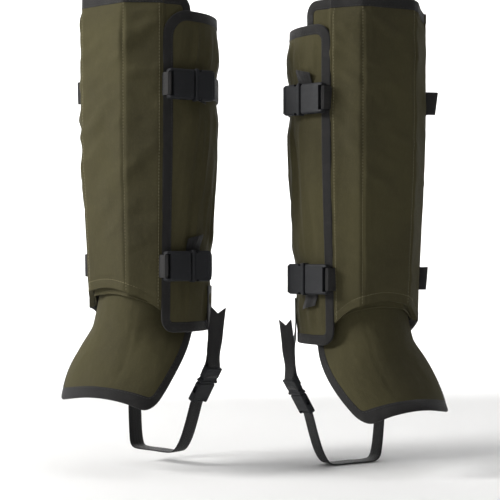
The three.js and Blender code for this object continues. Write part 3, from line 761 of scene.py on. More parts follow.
def shin_panel(leg):
    arcs, heights = cloth_grid(UNDERLAP_EDGE + 1, SIDE_CORNER + 0.6, shin_hem,
                               lambda a: shin_top(leg, a) - 1.5 * MM, 1.5 * MM, 2.6 * MM)
    outside, inside = shin_outside(leg, arcs, heights), shin_inside(leg, arcs, heights)
    panel = shell(leg.place, arcs, heights, outside, inside, [OLIVE, LINING])
    panel = finished(leg, "shin_cover", "shaft", "olive_fabric", [panel], "shin_panel")


def shin_binding(leg):
    turns = np.linspace(0, math.pi / 2, 9)[1:]
    angles = np.linspace(SIDE_CORNER + 0.6, angle_of(arc(UNDERLAP_EDGE) + UNDERLAP_CORNER), 60)
    top = [(arc(a), float(shin_line(leg, a))) for a in angles]
    left, line = arc(UNDERLAP_EDGE), float(shin_line(leg, UNDERLAP_EDGE))
    across, up = left + UNDERLAP_CORNER, line - UNDERLAP_CORNER
    corner = [(across - UNDERLAP_CORNER * math.sin(t), up + UNDERLAP_CORNER * math.cos(t)) for t in turns]
    down = [(left, float(shin_hem(UNDERLAP_EDGE)) + 1 * MM)]

    def middle(arcs, heights):
        return (shin_outside(leg, arcs, heights) + shin_inside(leg, arcs, heights)) / 2

    def half(arcs, heights):
        cloth = (shin_inside(leg, arcs, heights) - shin_outside(leg, arcs, heights)) / 2
        return mix(cloth + 0.45 * MM, 1.25 * MM, shin_under(arcs))

    edge, row = np.array(top + corner + down), np.array(top) - np.array([0, TAPE_STITCH])
    names = ("shin_binding", "shin_top_stitches")
    bound_edge(leg, names, "shaft", leg.place, edge, middle, half, row, "shin_tape")


def shin_stitches(leg):
    def inset(arcs, heights):
        return shin_outside(leg, arcs, heights) - 0.12 * MM

    paths = []
    for line in (-FRONT_CORNER, FRONT_CORNER, -SIDE_CORNER + 2.2):
        low, high = float(shin_hem(line)) + 3 * MM, float(shin_top(leg, line)) - TAPE - 1 * MM
        paths.append(np.array([(arc(line), low), (arc(line), high)]))
    angles = np.linspace(UNDERLAP_START + 3, SIDE_CORNER - 1, 50)
    paths.append(np.stack([arc(angles), shin_hem(angles) + HEM_STITCH], -1))
    rows = [stitches(leg.place, path, inset, OLIVE_THREAD) for path in paths]
    finished(leg, "shin_stitches", "shaft", "olive_fabric", rows)


def inner_hem(leg):
    """The lining's rolled hem, which shows in the gap between the shin's hem and the flap."""
    def bottom(angle):
        below = 6 * MM - 7 * MM * np.minimum((np.asarray(angle, float) / 50) ** 2, 1)
        return shin_hem(angle) - below

    def top(angle):
        return shin_hem(angle) + INNER_HEM_ABOVE

    arcs, heights = cloth_grid(UNDERLAP_START + 2, SIDE_CORNER - 2, bottom, top, 3 * MM, 3 * MM)
    inset = INNER_HEM_DEPTH + 0.5 * MM * grain(arcs, heights, (30 * MM, 30 * MM), leg.seed + 8)
    sheet = shell(leg.place, arcs, heights, inset, inset + 1.0 * MM, [OLIVE, LINING])
    turns = np.linspace(0, 2 * math.pi, 8, endpoint=False)
    row = evenly(np.stack([arcs[0], heights[0]], -1), 2.5 * MM)
    puff = INNER_HEM_ROLL * (1 + 0.12 * grain(row[:, 0], row[:, 1], (9 * MM, 9 * MM), leg.seed))[:, None]
    inset = INNER_HEM_DEPTH + 0.5 * MM - puff * np.cos(turns)
    rings = leg.place(row[:, :1] + 0 * turns, row[:, 1:] + puff * np.sin(turns), inset)
    cloth = np.stack(np.broadcast_arrays(row[:, :1], puff * turns, 0.0), -1)
    finished(leg, "inner_hem", "shaft", "olive_fabric", [sheet, tube(rings, [OLIVE], cloth)])


# ------------------------------------------------------------------------------------------------
# Calf: one panel from the shin's outer seam round the back to the bound free edge

CALF_UPRIGHT_FOLD = 2.4 * MM
CALF_SLANT_FOLD = 1.6 * MM

# The small gathers above and below a strap
PUCKER = 0.5 * MM
PUCKER_SIZE = 4.6 * MM
PUCKER_OFFSET = 19 * MM


def calf_slack(leg, arcs, heights):
    """1 where the cloth hangs free, 0 along its edges and where a strap cinches it."""
    angle = angle_of(arcs)
    held = sum(1 - smooth(np.abs(heights - strap), 12 * MM, 36 * MM) for strap in STRAP_HEIGHTS.values())
    ends = smooth(calf_line(leg, angle) - heights, 4 * MM, 34 * MM)
    ends = ends * smooth(heights - calf_foot(angle), 4 * MM, 34 * MM)
    sides = smooth(arc(CALF_EDGE) - arcs, 6 * MM, 30 * MM) * smooth(arcs - arc(SIDE_CORNER), 2 * MM, 26 * MM)
    return np.clip(1 - held, 0, 1) * ends * sides


def calf_outside(leg, arcs, heights):
    slack = calf_slack(leg, arcs, heights)
    upright = grain(arcs + 0.10 * heights, heights, (21 * MM, 230 * MM), leg.seed + 11, 2)
    aslant = grain(arcs - 0.35 * heights, heights, (34 * MM, 110 * MM), leg.seed + 13, 2)
    folds = CALF_UPRIGHT_FOLD * (1 - 2.2 * np.abs(upright)) + CALF_SLANT_FOLD * aslant
    fine = 0.2 * MM * grain(arcs, heights, (9 * MM, 24 * MM), leg.seed + 17)
    pull = sum(
        bump(np.abs(heights - strap) - PUCKER_OFFSET, 9 * MM) * np.sin(arcs / PUCKER_SIZE + strap * 90)
        for strap in STRAP_HEIGHTS.values()
    )
    lap = -1.0 * MM * (1 - smooth(arcs - arc(SIDE_CORNER), 1 * MM, 7 * MM))
    return lap - slack * np.clip(1.0 * MM + folds, -1.5 * MM, 4.6 * MM) - fine - PUCKER * pull * slack


def calf_panel(leg):
    arcs, heights = cloth_grid(SIDE_CORNER - 0.8, CALF_EDGE - 1, lambda a: calf_bottom(a) + 1 * MM,
                               lambda a: calf_top(leg, a) - 1 * MM, 1.7 * MM, 2.8 * MM)
    outside = calf_outside(leg, arcs, heights)
    panel = shell(leg.place, arcs, heights, outside, outside + PANEL, [OLIVE, LINING])
    return finished(leg, "wrap_cover", None, "olive_fabric", [panel], "side_panel", "calf_panel")


def calf_path(leg):
    """The wrap panel's bound edge on the flat cloth: top, free edge and bottom, with round corners."""
    edge = arc(CALF_EDGE)
    round_top = leg.wrap_corner
    top_angles = np.linspace(SIDE_CORNER + 0.4, angle_of(edge - round_top), 90)
    foot_angles = np.linspace(angle_of(edge - CALF_BOTTOM_CORNER), SIDE_CORNER + 0.4, 90)
    turns = np.linspace(0, math.pi / 2, 10)
    line, foot = float(calf_line(leg, CALF_EDGE)), float(calf_foot(CALF_EDGE))
    top = [(arc(a), float(calf_line(leg, a))) for a in top_angles]
    bend = [(edge - round_top * (1 - math.sin(t)), line - round_top * (1 - math.cos(t))) for t in turns[1:]]
    round_foot = CALF_BOTTOM_CORNER
    low = [(edge - round_foot * (1 - math.cos(t)), foot + round_foot * (1 - math.sin(t))) for t in turns]
    return np.array(top + bend + low + [(arc(a), float(calf_foot(a))) for a in foot_angles[1:]])


def calf_binding(leg):
    def middle(arcs, heights):
        return calf_outside(leg, arcs, heights) + PANEL / 2

    edge = calf_path(leg)
    row = along_cloth(evenly(edge, EDGE_STEP), -TAPE_STITCH)
    names = ("wrap_binding", "wrap_stitches")
    return bound_edge(leg, names, None, leg.place, edge, middle, CALF_TAPE_HALF, row, "calf_tape", -1)


def side_seam(leg):
    """The lap seam that joins the wrap panel to the shin's outer edge."""
    def inset(arcs, heights):
        return calf_outside(leg, arcs, heights) - 0.12 * MM

    line = arc(SIDE_CORNER) + 3.2 * MM
    low = float(calf_foot(SIDE_CORNER)) + TAPE + 1 * MM
    high = float(calf_line(leg, SIDE_CORNER)) - TAPE - 1 * MM
    row = stitches(leg.place, np.array([(line, low), (line, high)]), inset, OLIVE_THREAD)
    return finished(leg, "side_seam", "shaft", "olive_fabric", [row])


# ------------------------------------------------------------------------------------------------
# Webbing: a ribbon that follows a route, with the way its face looks at each point

STRAP_START_ANGLE = 56.8
STRAP_END_ANGLE = 275
STRAP_FIRST_LEAVE = 120
PLUG_SLOT = (21.5 * MM, -2.9 * MM)
SOCKET_MIDDLE = 12 * MM
FOOT_BUCKLE_SIZE = 0.8


class Route:
    """A ribbon's middle line and the way that its face looks, by length along it."""

    def __init__(self, points, normals):
        self.points = np.asarray(points, float)
        self.lengths = arc_lengths(self.points)
        self.length = self.lengths[-1]
        run = unit(np.gradient(self.points, axis=0))
        normals = np.asarray(normals, float)
        normals = normals - run * np.sum(normals * run, axis=1, keepdims=True)
        self.normals = unit(normals)
        self.sides = np.cross(self.normals, run)

    def at(self, table, along):
        return np.stack([np.interp(along, self.lengths, table[:, k]) for k in range(3)], -1)

    def place(self, along, across, inset):
        middle, side, out = (self.at(table, along) for table in (self.points, self.sides, self.normals))
        return middle + side * np.asarray(across)[..., None] - out * np.asarray(inset)[..., None]


def crossing(curve, across):
    """A route whose ribbon lies with its width along the given way."""
    return Route(curve, np.cross(unit(np.gradient(curve, axis=0)), across))


def ribbon(route, width, thickness, notch=0.0, slant=0.0):
    """Flat webbing with rounded edges. Its far end may have a V cut, or be cut aslant."""
    shares = np.array([-1, -0.985, -0.93, -0.6, -0.3, 0, 0.3, 0.6, 0.93, 0.985, 1.0])
    count = max(4, int(route.length / (2.2 * MM)))
    along = np.linspace(0, 1, count)[None, :]
    across = shares[:, None] * width / 2 + 0 * along
    far = route.length - notch * (1 - np.abs(shares))[:, None] - slant * (1 - shares[:, None]) / 2
    reach = far * along
    round_off = np.sqrt(np.clip(1 - np.abs(shares) ** 14, 0, 1))[:, None]
    half = thickness / 2 * np.maximum(round_off, 0.25) + 0 * along
    cloth = np.stack([reach, across, 0 * reach], -1)
    return shell(route.place, reach, across, -half, half, [WEBBING], cloth)


def middle_of(node):
    low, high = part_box(node)
    return (np.array(low) + np.array(high)) / 2


def buckle_frame(leg, name):
    """The buckle's middle, the way from its socket to its plug, its side, its outward way and its scale."""
    key = f"{leg.side}_{name}"
    prong = "rear" if name == "foot" else "low"
    size = FOOT_BUCKLE_SIZE if name == "foot" else 1.0
    way = np.array(JOINTS[f"{key}_buckle_pull"]["axis"], float)
    out = np.array(JOINTS[f"{key}_prong_{prong}_squeeze"]["axis"], float)
    socket = middle_of(f"{key}_buckle_socket")
    out *= np.sign(np.dot(out, socket - np.append(leg.axis, socket[2])))
    return socket + way * SOCKET_MIDDLE * size, way, np.cross(out, way), out, size


def buckle_curve(leg, name, points, spacing):
    """A smooth curve through points given in millimetres along the buckle and away from the leg."""
    middle, way, _, out, _ = buckle_frame(leg, name)
    return spline([middle + way * x * MM + out * z * MM for x, z in points], spacing)


def strap_route(leg, name):
    """Round the calf, then straight off it to the plug's slot."""
    height = STRAP_HEIGHTS[name]
    middle, way, _, out, _ = buckle_frame(leg, name)
    target = middle + way * PLUG_SLOT[0] + out * PLUG_SLOT[1]
    centre = np.append(leg.axis, 0) + np.array([0, 0, height - ORIGIN_HEIGHT + leg.lift])
    angles = np.arange(STRAP_START_ANGLE, STRAP_END_ANGLE, 1.0)
    wrap = leg.place(arc(angles), height, -(STRAP_LIFT + STRAP / 2))

    def miss(i):
        return np.linalg.norm(np.cross(target - wrap[i], unit(wrap[i + 1] - wrap[i])))

    leave = min(range(STRAP_FIRST_LEAVE, len(wrap) - 1), key=miss)
    straight = np.linspace(wrap[leave], target, 24)[1:]
    points = evenly(np.concatenate([wrap[: leave + 1], straight]), 2.4 * MM)
    ways = points - centre
    ways[:, 2] = 0
    return Route(points, ways)


def box_stitch(route, start, length):
    """The sewn square with a cross that holds a strap's end."""
    half = STRAP_WIDTH / 2 - 3 * MM
    a, b = start + 2.5 * MM, start + length
    corners = [(a, -half), (b, -half), (b, half), (a, half)]
    lines = list(zip(corners, corners[1:] + corners[:1]))
    lines += [(corners[0], corners[2]), (corners[3], corners[1])]
    inset = -STRAP / 2 - 0.1 * MM
    return [stitches(route.place, np.array(line), inset, BLACK_THREAD, 3 * MM, 2.1 * MM) for line in lines]


def calf_strap(leg, name):
    route = strap_route(leg, name)
    strap = ribbon(route, STRAP_WIDTH, STRAP)
    finished(leg, f"{name}_strap", None, "black_webbing", [strap], f"{name}_side_strap", f"{name}_rear_strap")
    finished(leg, f"{name}_strap_stitches", "shaft", "black_webbing", box_stitch(route, 1 * MM, 24 * MM))


def strap_loop(leg, name):
    """The end of the webbing, folded up round the plug's front bar."""
    loop = [(26.5, -2.3), (20.6, -2.4), (14.2, -2.4), (11.6, -2.0), (10.8, -0.6), (10.7, 0.4)]
    route = crossing(buckle_curve(leg, name, loop, 0.8 * MM), buckle_frame(leg, name)[2])
    piece = ribbon(route, STRAP_WIDTH - 1 * MM, FOLDED_STRAP)
    finished(leg, f"{name}_strap_loop", f"{name}_plug", "black_webbing", [piece])


# How far each strap's folded front end stands off the side panel
TABS = {
    ("left", "upper"): 14 * MM,
    ("left", "lower"): 11 * MM,
    ("right", "upper"): 8 * MM,
    ("right", "lower"): 7 * MM,
}


def strap_tab(leg, name):
    """The strap's front end, folded back over its seam and cut aslant."""
    reach = TABS[leg.side, name]
    turns = [58.2, 57.6, 58.6, 61.0]
    lifts = [-1.6 * MM, 1.5 * MM, 1.5 * MM + 0.5 * reach, reach]
    curve = [leg.place(arc(turn), STRAP_HEIGHTS[name], -lift) for turn, lift in zip(turns, lifts)]
    route = crossing(spline(curve, 0.8 * MM), [0, 0, 1.0])
    piece = ribbon(route, STRAP_WIDTH, FOLDED_STRAP, slant=0.3 * reach)
    finished(leg, f"{name}_strap_tab", "shaft", "black_webbing", [piece])


# Where each strap's loose end comes out from under the plug: how far behind the buckle's middle,
# and how far it reaches up or down from the strap's middle
TAILS = {
    ("left", "upper"): (13 * MM, 33 * MM),
    ("left", "lower"): (8 * MM, -33 * MM),
    ("right", "upper"): (17 * MM, -19 * MM),
    ("right", "lower"): (21 * MM, 34 * MM),
}


TAIL_SLANT = 0.22
TAIL_CURL = 3.5 * MM


def strap_tail(leg, name):
    """The loose end, folded under the plug and lying on the calf panel, cut aslant."""
    behind, reach = TAILS[leg.side, name]
    height = STRAP_HEIGHTS[name]
    across = np.linspace(-0.5, 0.5, 13)[:, None] * (STRAP_WIDTH - 2 * MM)
    along = np.linspace(0, 1, 30)[None, :]
    start = -math.copysign(9 * MM, reach)
    far = reach - math.copysign(1, reach) * TAIL_SLANT * (across + STRAP_WIDTH / 2)
    heights = height + mix(start, far, along)
    arcs = arc(BUCKLE_FOOT_ANGLE) - behind + across * (1 - 0.12 * along) + 0.1 * (heights - height)
    curl = TAIL_CURL * smooth(along, 0.55, 1) ** 2 + 0 * across
    lift = calf_outside(leg, arcs, heights) - 0.5 * MM - curl
    edge = 0.35 + 0.65 * np.sqrt(np.clip(1 - np.abs(across / STRAP_WIDTH * 2.15) ** 10, 0, 1)) + 0 * along
    cloth = np.stack([heights, across + 0 * along, 0 * heights], -1)
    outside, inside = lift - FOLDED_STRAP * (0.5 + 0.5 * edge), lift - FOLDED_STRAP * (0.5 - 0.5 * edge)
    piece = shell(leg.place, arcs, heights, outside, inside, [WEBBING], cloth)
    finished(leg, f"{name}_strap_tail", "wrap", "black_webbing", [piece])


# ------------------------------------------------------------------------------------------------
# Buckles, in their own axes: x from socket to plug, y across the webbing, z away from the leg

CORNER_STEPS = 7
BUCKLE_BEVEL = 0.3 * MM
BEVEL_ANGLE = 50
SHARP_ANGLE = 17
ANCHOR_WIDTH = 24 * MM
ANCHOR_TURN = 17.4


def pillow(x0, x1, half, corner, levels):
    """A rounded rectangle stacked through levels of (height, how far it is drawn in), as points and faces."""
    rings = []
    for z, inset in levels:
        r = max(corner - inset, 0.3)
        centres = ((x1 - inset - r, half - inset - r, 0), (x0 + inset + r, half - inset - r, 90),
                   (x0 + inset + r, inset + r - half, 180), (x1 - inset - r, inset + r - half, 270))
        ring = []
        for cx, cy, start in centres:
            for step in range(CORNER_STEPS):
                turn = math.radians(start + 90 / (CORNER_STEPS - 1) * step)
                ring.append((cx + r * math.cos(turn), cy + r * math.sin(turn), z))
        rings.append(ring)
    return np.array(rings)


def solid_object(rings):
    return tube(np.asarray(rings) * MM, [PLASTIC], None, 35)


def brick(x, y, z, corner=0.35):
    """A bar with softened edges between the given limits."""
    levels = [(z[0], corner), (z[0] + corner, 0), (z[1] - corner, 0), (z[1], corner)]
    rings = pillow(x[0], x[1], (y[1] - y[0]) / 2, max(corner, 0.5), levels)
    rings[..., 1] += (y[0] + y[1]) / 2
    return solid_object(rings)


def carve(base, adds, cuts):
    """The base with solids joined to it and cut from it, and its new edges softened."""
    for kind, others in (("UNION", adds), ("DIFFERENCE", cuts)):
        for other in others:
            modifier = base.modifiers.new(kind, "BOOLEAN")
            modifier.operation = kind
            modifier.object = other
            modifier.solver = "EXACT"
    soften = base.modifiers.new("soften", "BEVEL")
    soften.width = BUCKLE_BEVEL
    soften.segments = 2
    soften.limit_method = "ANGLE"
    soften.angle_limit = math.radians(BEVEL_ANGLE)
    made = bpy.data.meshes.new_from_object(base.evaluated_get(bpy.context.evaluated_depsgraph_get()))
    for other in [base, *adds, *cuts]:
        bpy.data.objects.remove(other)
    made.shade_smooth()
    made.set_sharp_from_angle(angle=math.radians(SHARP_ANGLE))
    return made


def socket_mesh():
    """The half that receives the prongs: a plain shell, side windows, and a bar for the webbing."""
    levels = [(-4.5, 1.3), (-4.25, 0.5), (-3.7, 0.1), (-3.0, 0.0), (2.6, 0.0), (3.5, 0.15), (4.15, 0.6),
              (4.5, 1.6)]
    cuts = [
        brick((-18.5, 4), (-13.5, 13.5), (-2.5, 2.5), 0.3),
        brick((-13.8, -4), (-18.5, 18.5), (-2.4, 2.4), 0.3),
        brick((-25, -22), (-13, 13), (-9, 9), 0.4),
        brick((-28.5, -24.4), (-13, 13), (-9, -1.8), 0.4),
        brick((-28.5, -24.4), (-13, 13), (1.8, 9), 0.4),
    ]
    return carve(solid_object(pillow(-27, 3, 15.9, 3.0, levels)), [], cuts)


def plug_mesh():
    """The half that carries the prongs: a lip at its mouth, finger notches, and bars beneath."""
    plate = [(-3.8, 1.2), (-3.5, 0.45), (-2.9, 0), (2.8, 0), (3.7, 0.3), (4.1, 1.3)]
    lip = [(-4.6, 0.9), (-4.0, 0.1), (-3.0, 0.0), (3.4, 0.0), (4.6, 0.1), (5.2, 0.9)]
    adds = [
        solid_object(pillow(3.8, 7.4, 17.1, 1.5, lip)),
        brick((-14, 5), (-4, 4), (-1.8, 1.8), 0.5),
        brick((23.6, 27.2), (-14.6, 14.6), (-3.0, 4.9), 0.8),
    ]
    cuts = [
        brick((8.8, 12.6), (-12.6, 12.6), (-9, 1.2), 0.4),
        brick((18, 28.5), (-12.8, 12.8), (-9, -0.6), 0.4),
        brick((8.8, 28.5), (-12.8, 12.8), (-9, -1.6), 0.4),
        brick((8.6, 12.0), (14.0, 18.4), (-9, 9), 1.0),
        brick((8.6, 12.0), (-18.4, -14.0), (-9, 9), 1.0),
    ]
    return carve(solid_object(pillow(3.8, 27, 16.3, 3.4, plate)), adds, cuts)


def prong_mesh(sign):
    """A springy arm with a hooked head at its tip."""
    outline = [(3.5, 8.2), (3.5, 11.2), (-4.6, 11.2), (-5.6, 13.0), (-7.0, 13.15), (-10.4, 13.0),
               (-12.6, 11.6), (-13.6, 9.8), (-13.4, 8.6), (-12.4, 8.2)]
    levels = ((-1.7, 0.3), (-1.35, 0.0), (1.35, 0.0), (1.7, 0.3))
    centre = np.mean(outline, axis=0)
    rings = []
    for z, inset in levels:
        drawn_in = np.array(outline) - np.sign(np.array(outline) - centre) * inset
        rings.append([(x, y * sign, z) for x, y in drawn_in])
    piece = solid_object(rings)
    mesh = piece.data.copy()
    bpy.data.objects.remove(piece)
    return mesh


BUCKLE_MESHES = {
    "socket": socket_mesh(),
    "plug": plug_mesh(),
    "prong_first": prong_mesh(1),
    "prong_second": prong_mesh(-1),
}


def buckle_piece(leg, name, part, shape, body):
    """A copy of one of the buckle's meshes, put in its place on the leg."""
    middle, way, across, out, size = buckle_frame(leg, name)
    mesh = BUCKLE_MESHES[shape].copy()
    points = np.empty(len(mesh.vertices) * 3)
    mesh.vertices.foreach_get("co", points)
    local = points.reshape(-1, 3) * size
    placed = middle + local[:, :1] * way + local[:, 1:2] * across + local[:, 2:] * out
    mesh.vertices.foreach_set("co", placed.reshape(-1))
    mesh.update()
    finished(leg, f"{name}_{part}", body, "buckle_plastic", [linked("made", mesh)], f"{name}_buckle_{part}")


def buckle(leg, name):
    middle, _, across, _, _ = buckle_frame(leg, name)
    buckle_piece(leg, name, "socket", "socket", "wrap" if name == "foot" else "shaft")
    buckle_piece(leg, name, "plug", "plug", f"{name}_plug")
    for end in ("rear", "front") if name == "foot" else ("low", "high"):
        prong = middle_of(f"{leg.side}_{name}_buckle_prong_{end}")
        shape = "prong_first" if np.dot(prong - middle, across) > 0 else "prong_second"
        buckle_piece(leg, name, f"prong_{end}", shape, f"{name}_prong_{end}")


def buckle_anchor(leg, name):
    """The webbing loop that ties the socket's bar down into the shin's inner seam."""
    middle, _, across, _, _ = buckle_frame(leg, name)
    reach = np.linalg.norm(middle[:2] - leg.axis)
    surface = float(CALF_RADIUS * narrowing(STRAP_HEIGHTS[name]))
    foot = (surface * math.cos(math.radians(ANCHOR_TURN)) - reach) / MM
    loop = [(-28.1, foot - 1.5), (-28.2, foot + 2), (-28.1, -1.5), (-28.0, 1.0), (-27.0, 2.8), (-25.4, 2.9),
            (-24.1, 1.5), (-24.0, -1.2), (-25.3, -2.8), (-26.7, -3.2), (-26.9, -5.0)]
    piece = ribbon(crossing(buckle_curve(leg, name, loop, 0.7 * MM), across), ANCHOR_WIDTH, FOLDED_STRAP)
    finished(leg, f"{name}_anchor_loop", "shaft", "black_webbing", [piece], f"{name}_buckle_anchor")


# ------------------------------------------------------------------------------------------------
# Instep flap. On the flat cloth, p runs across from its middle and q down from the ankle.

FLAP_RING_RADIUS = 53 * MM
FLAP_RING_HEIGHT = 201 * MM
FLAP_RING_ANGLE = 98
FLAP_EDGE_HALF_WIDTH = 56 * MM
FLAP_CORNER_REACH = 86 * MM
FLAP_MIDDLE_REACH = 107 * MM
FLAP_CORNER_HEIGHT = 69 * MM
FLAP_MIDDLE_HEIGHT = 85 * MM
FLAP_HOLLOW = 14 * MM
FLAP_BULGE = 12 * MM
FLAP_BULGE_START = 0.42
FLAP_RING_ARC = 92 * MM
FLAP_EDGE_ARC = 66 * MM
FLAP_LENGTH = 127 * MM
FLAP_EDGE_TURN = 66
FLAP_OUTER_RISE = 8 * MM
FLAP_CORNER = 15 * MM
FLAP_THICKNESS = 2.0 * MM
FLAP_PADDING = 1.1 * MM
FLAP_CREASE = 0.45 * MM


def flap_surface(leg, p, q):
    """The flap's middle surface: from a ring round the ankle to a wide, low edge over the boot."""
    along = q / FLAP_LENGTH
    across = p / mix(FLAP_RING_ARC, FLAP_EDGE_ARC, along)
    ring_turn = np.radians(across * FLAP_RING_ANGLE)
    ring = (
        FLAP_RING_RADIUS * np.sin(ring_turn),
        -FLAP_RING_RADIUS * np.cos(ring_turn),
        FLAP_RING_HEIGHT + 0 * across,
    )
    last = math.radians(FLAP_EDGE_TURN)
    sideways = np.sin(across * last) / math.sin(last)
    middle = (np.cos(across * last) - math.cos(last)) / (1 - math.cos(last))
    corner = FLAP_CORNER_HEIGHT + FLAP_OUTER_RISE * smooth(across, 0, 1)
    edge = (
        FLAP_EDGE_HALF_WIDTH * sideways,
        -mix(FLAP_CORNER_REACH, FLAP_MIDDLE_REACH, middle),
        mix(corner, FLAP_MIDDLE_HEIGHT, middle),
    )
    u, v, h = (mix(a, b, along) for a, b in zip(ring, edge))
    below = np.maximum(0, (along - FLAP_BULGE_START) / (1 - FLAP_BULGE_START))
    u = u + FLAP_BULGE * np.sin(below * math.pi) * sideways
    back = smooth(along, 0.0, 0.36) * (1 - smooth(along, 0.3, 0.8)) * smooth(-across, 0.25, 1)
    v = v + FLAP_HOLLOW * np.sin(along * math.pi) + leg.flap_sweep * back
    turn = np.radians(leg.foot_turn * along)
    return np.stack([u * np.cos(turn) - v * np.sin(turn), u * np.sin(turn) + v * np.cos(turn), h], -1)


def flap_place(leg):
    step = 0.5 * MM

    def place(p, q, inset):
        p, q, inset = (np.asarray(x, float) for x in np.broadcast_arrays(p, q, inset))
        sideways = flap_surface(leg, p + step, q) - flap_surface(leg, p - step, q)
        upwards = flap_surface(leg, p, q - step) - flap_surface(leg, p, q + step)
        out = unit(np.cross(sideways, upwards))
        return leg.world(flap_surface(leg, p, q) - out * inset[..., None])

    return place


def flap_width(q):
    """Half the flap's width on the flat cloth."""
    return mix(FLAP_RING_ARC, FLAP_EDGE_ARC, q / FLAP_LENGTH)


def flap_outside(leg, p, q):
    edge = smooth(FLAP_EDGE_ARC - np.abs(p) + (FLAP_LENGTH - q) * 0.25, 2 * MM, 26 * MM)
    ends = smooth(q, 0, 20 * MM) * smooth(FLAP_LENGTH - q, 4 * MM, 24 * MM)
    folds = 0.9 * MM * grain(p - 0.25 * q, q, (26 * MM, 60 * MM), leg.seed + 21)
    folds = folds + 0.3 * MM * grain(p, q, (10 * MM, 16 * MM), leg.seed + 23)
    crease = FLAP_CREASE * bump(p + 24 * MM - 0.1 * (q - 50 * MM), 2.0 * MM) * smooth(q, 20 * MM, 45 * MM)
    return 0.2 * MM - edge * ends * (FLAP_PADDING + folds) + crease * ends


def flap_path():
    """The flap's bound edge on the flat cloth: down one side, along the lower edge and up the other."""
    low = FLAP_LENGTH - FLAP_CORNER
    turns = np.linspace(0, math.pi / 2, 8)[1:]
    right = [(float(flap_width(depth)), depth) for depth in np.linspace(1 * MM, low, 30)]
    centre = float(flap_width(low)) - FLAP_CORNER
    right += [(centre + FLAP_CORNER * math.cos(t), low + FLAP_CORNER * math.sin(t)) for t in turns]
    return np.array(right + [(-a, b) for a, b in reversed(right)])


def instep_flap(leg):
    q = np.linspace(1 * MM, FLAP_LENGTH - 0.5 * MM, 62)[:, None]
    shares = np.linspace(-1, 1, 84)[None, :]
    p = shares * (flap_width(q) - corner_drop(FLAP_LENGTH - q, FLAP_CORNER) - 0.6 * MM)
    q = q + 0 * shares
    place = flap_place(leg)
    outside = flap_outside(leg, p, q)
    flap = shell(place, p, q, outside, outside + FLAP_THICKNESS, [OLIVE, LINING])
    flap = finished(leg, "flap_cover", "flap", "olive_fabric", [flap], "instep_flap")

    def middle(a, b):
        return flap_outside(leg, a, b) + FLAP_THICKNESS / 2

    row = along_cloth(evenly(flap_path(), EDGE_STEP), TAPE_STITCH)
    names = ("flap_binding", "flap_stitches")
    bound_edge(leg, names, "flap", place, flap_path(), middle, FLAP_TAPE_HALF, row, "instep_tape")


# ------------------------------------------------------------------------------------------------
# Foot strap: the routes of part.mjs, in metres

FOOT_BUCKLE_MIDDLE = np.array([-58.7, 27, 89]) * MM
FOOT_BUCKLE_WAY = np.array([-0.476, 0.09, 0.879])
FOOT_STRAP_ANGLE = 120.5
FOOT_STRAP_RADIUS = 67.8 * MM
FOOT_STRAP_SEAM = (196 * MM, 160 * MM)
FOOT_STRAP_WIDTH = 20 * MM
TURN_BOTTOM = 115 * MM
TURN_TOP = 165 * MM


def seam_point(side, height):
    turn = math.radians(FOOT_STRAP_ANGLE) * side
    return np.array([FOOT_STRAP_RADIUS * math.sin(turn), -FOOT_STRAP_RADIUS * math.cos(turn), height])


def beside_buckle(along, outwards):
    out = np.array([-FOOT_BUCKLE_WAY[2], 0, FOOT_BUCKLE_WAY[0]])
    return FOOT_BUCKLE_MIDDLE + FOOT_BUCKLE_WAY * along * MM + out * outwards * MM


UPPER_ROUTE = [seam_point(-1, height) for height in FOOT_STRAP_SEAM]
UPPER_ROUTE += [np.array(point) * MM for point in ((-63.5, 33, 143), (-66.5, 31, 128), (-66, 29.5, 115))]
UPPER_ROUTE += [beside_buckle(20, -4.9), beside_buckle(13, -4.9)]

LOWER_ROUTE = [beside_buckle(-19.2, 0), beside_buckle(-23.1, 0)]
LOWER_ROUTE += [
    np.array(point) * MM
    for point in (
        (-42.5, 21, 44), (-38, 17.5, 27), (-32, 14.5, 16.5), (-23, 14, 13.8), (0, 14, 13.8), (23, 14, 13.8),
        (32, 14.5, 16.5), (38, 17.5, 27), (43, 21, 48), (49, 26, 80), (55, 31, 115), (58.5, 33.5, 142),
    )
]
LOWER_ROUTE += [seam_point(1, height) for height in reversed(FOOT_STRAP_SEAM)]


def foot_route(leg, points):
    """The strap's route, lying along the leg above and flat under the foot."""
    curve = spline(points, 2 * MM)
    turn = np.arctan2(curve[:, 0], -curve[:, 1])
    on_leg = np.stack([np.cos(turn), np.sin(turn), 0 * turn], -1) * np.where(curve[:, :1] < 0, -1, 1)
    share = smooth(curve[:, 2], TURN_BOTTOM, TURN_TOP)[:, None]
    sideways = unit(mix(np.array([0, 1.0, 0]), on_leg, share))
    out = np.cross(unit(np.gradient(curve, axis=0)), sideways)
    world = leg.world(curve)
    return Route(world, unit(leg.world(curve + out * MM) - world))


def foot_strap(leg):
    for name, points in (("upper", UPPER_ROUTE), ("lower", LOWER_ROUTE)):
        strap = ribbon(foot_route(leg, points), FOOT_STRAP_WIDTH, STRAP)
        finished(leg, f"foot_webbing_{name}", "wrap", "black_webbing", [strap], f"foot_strap_{name}")


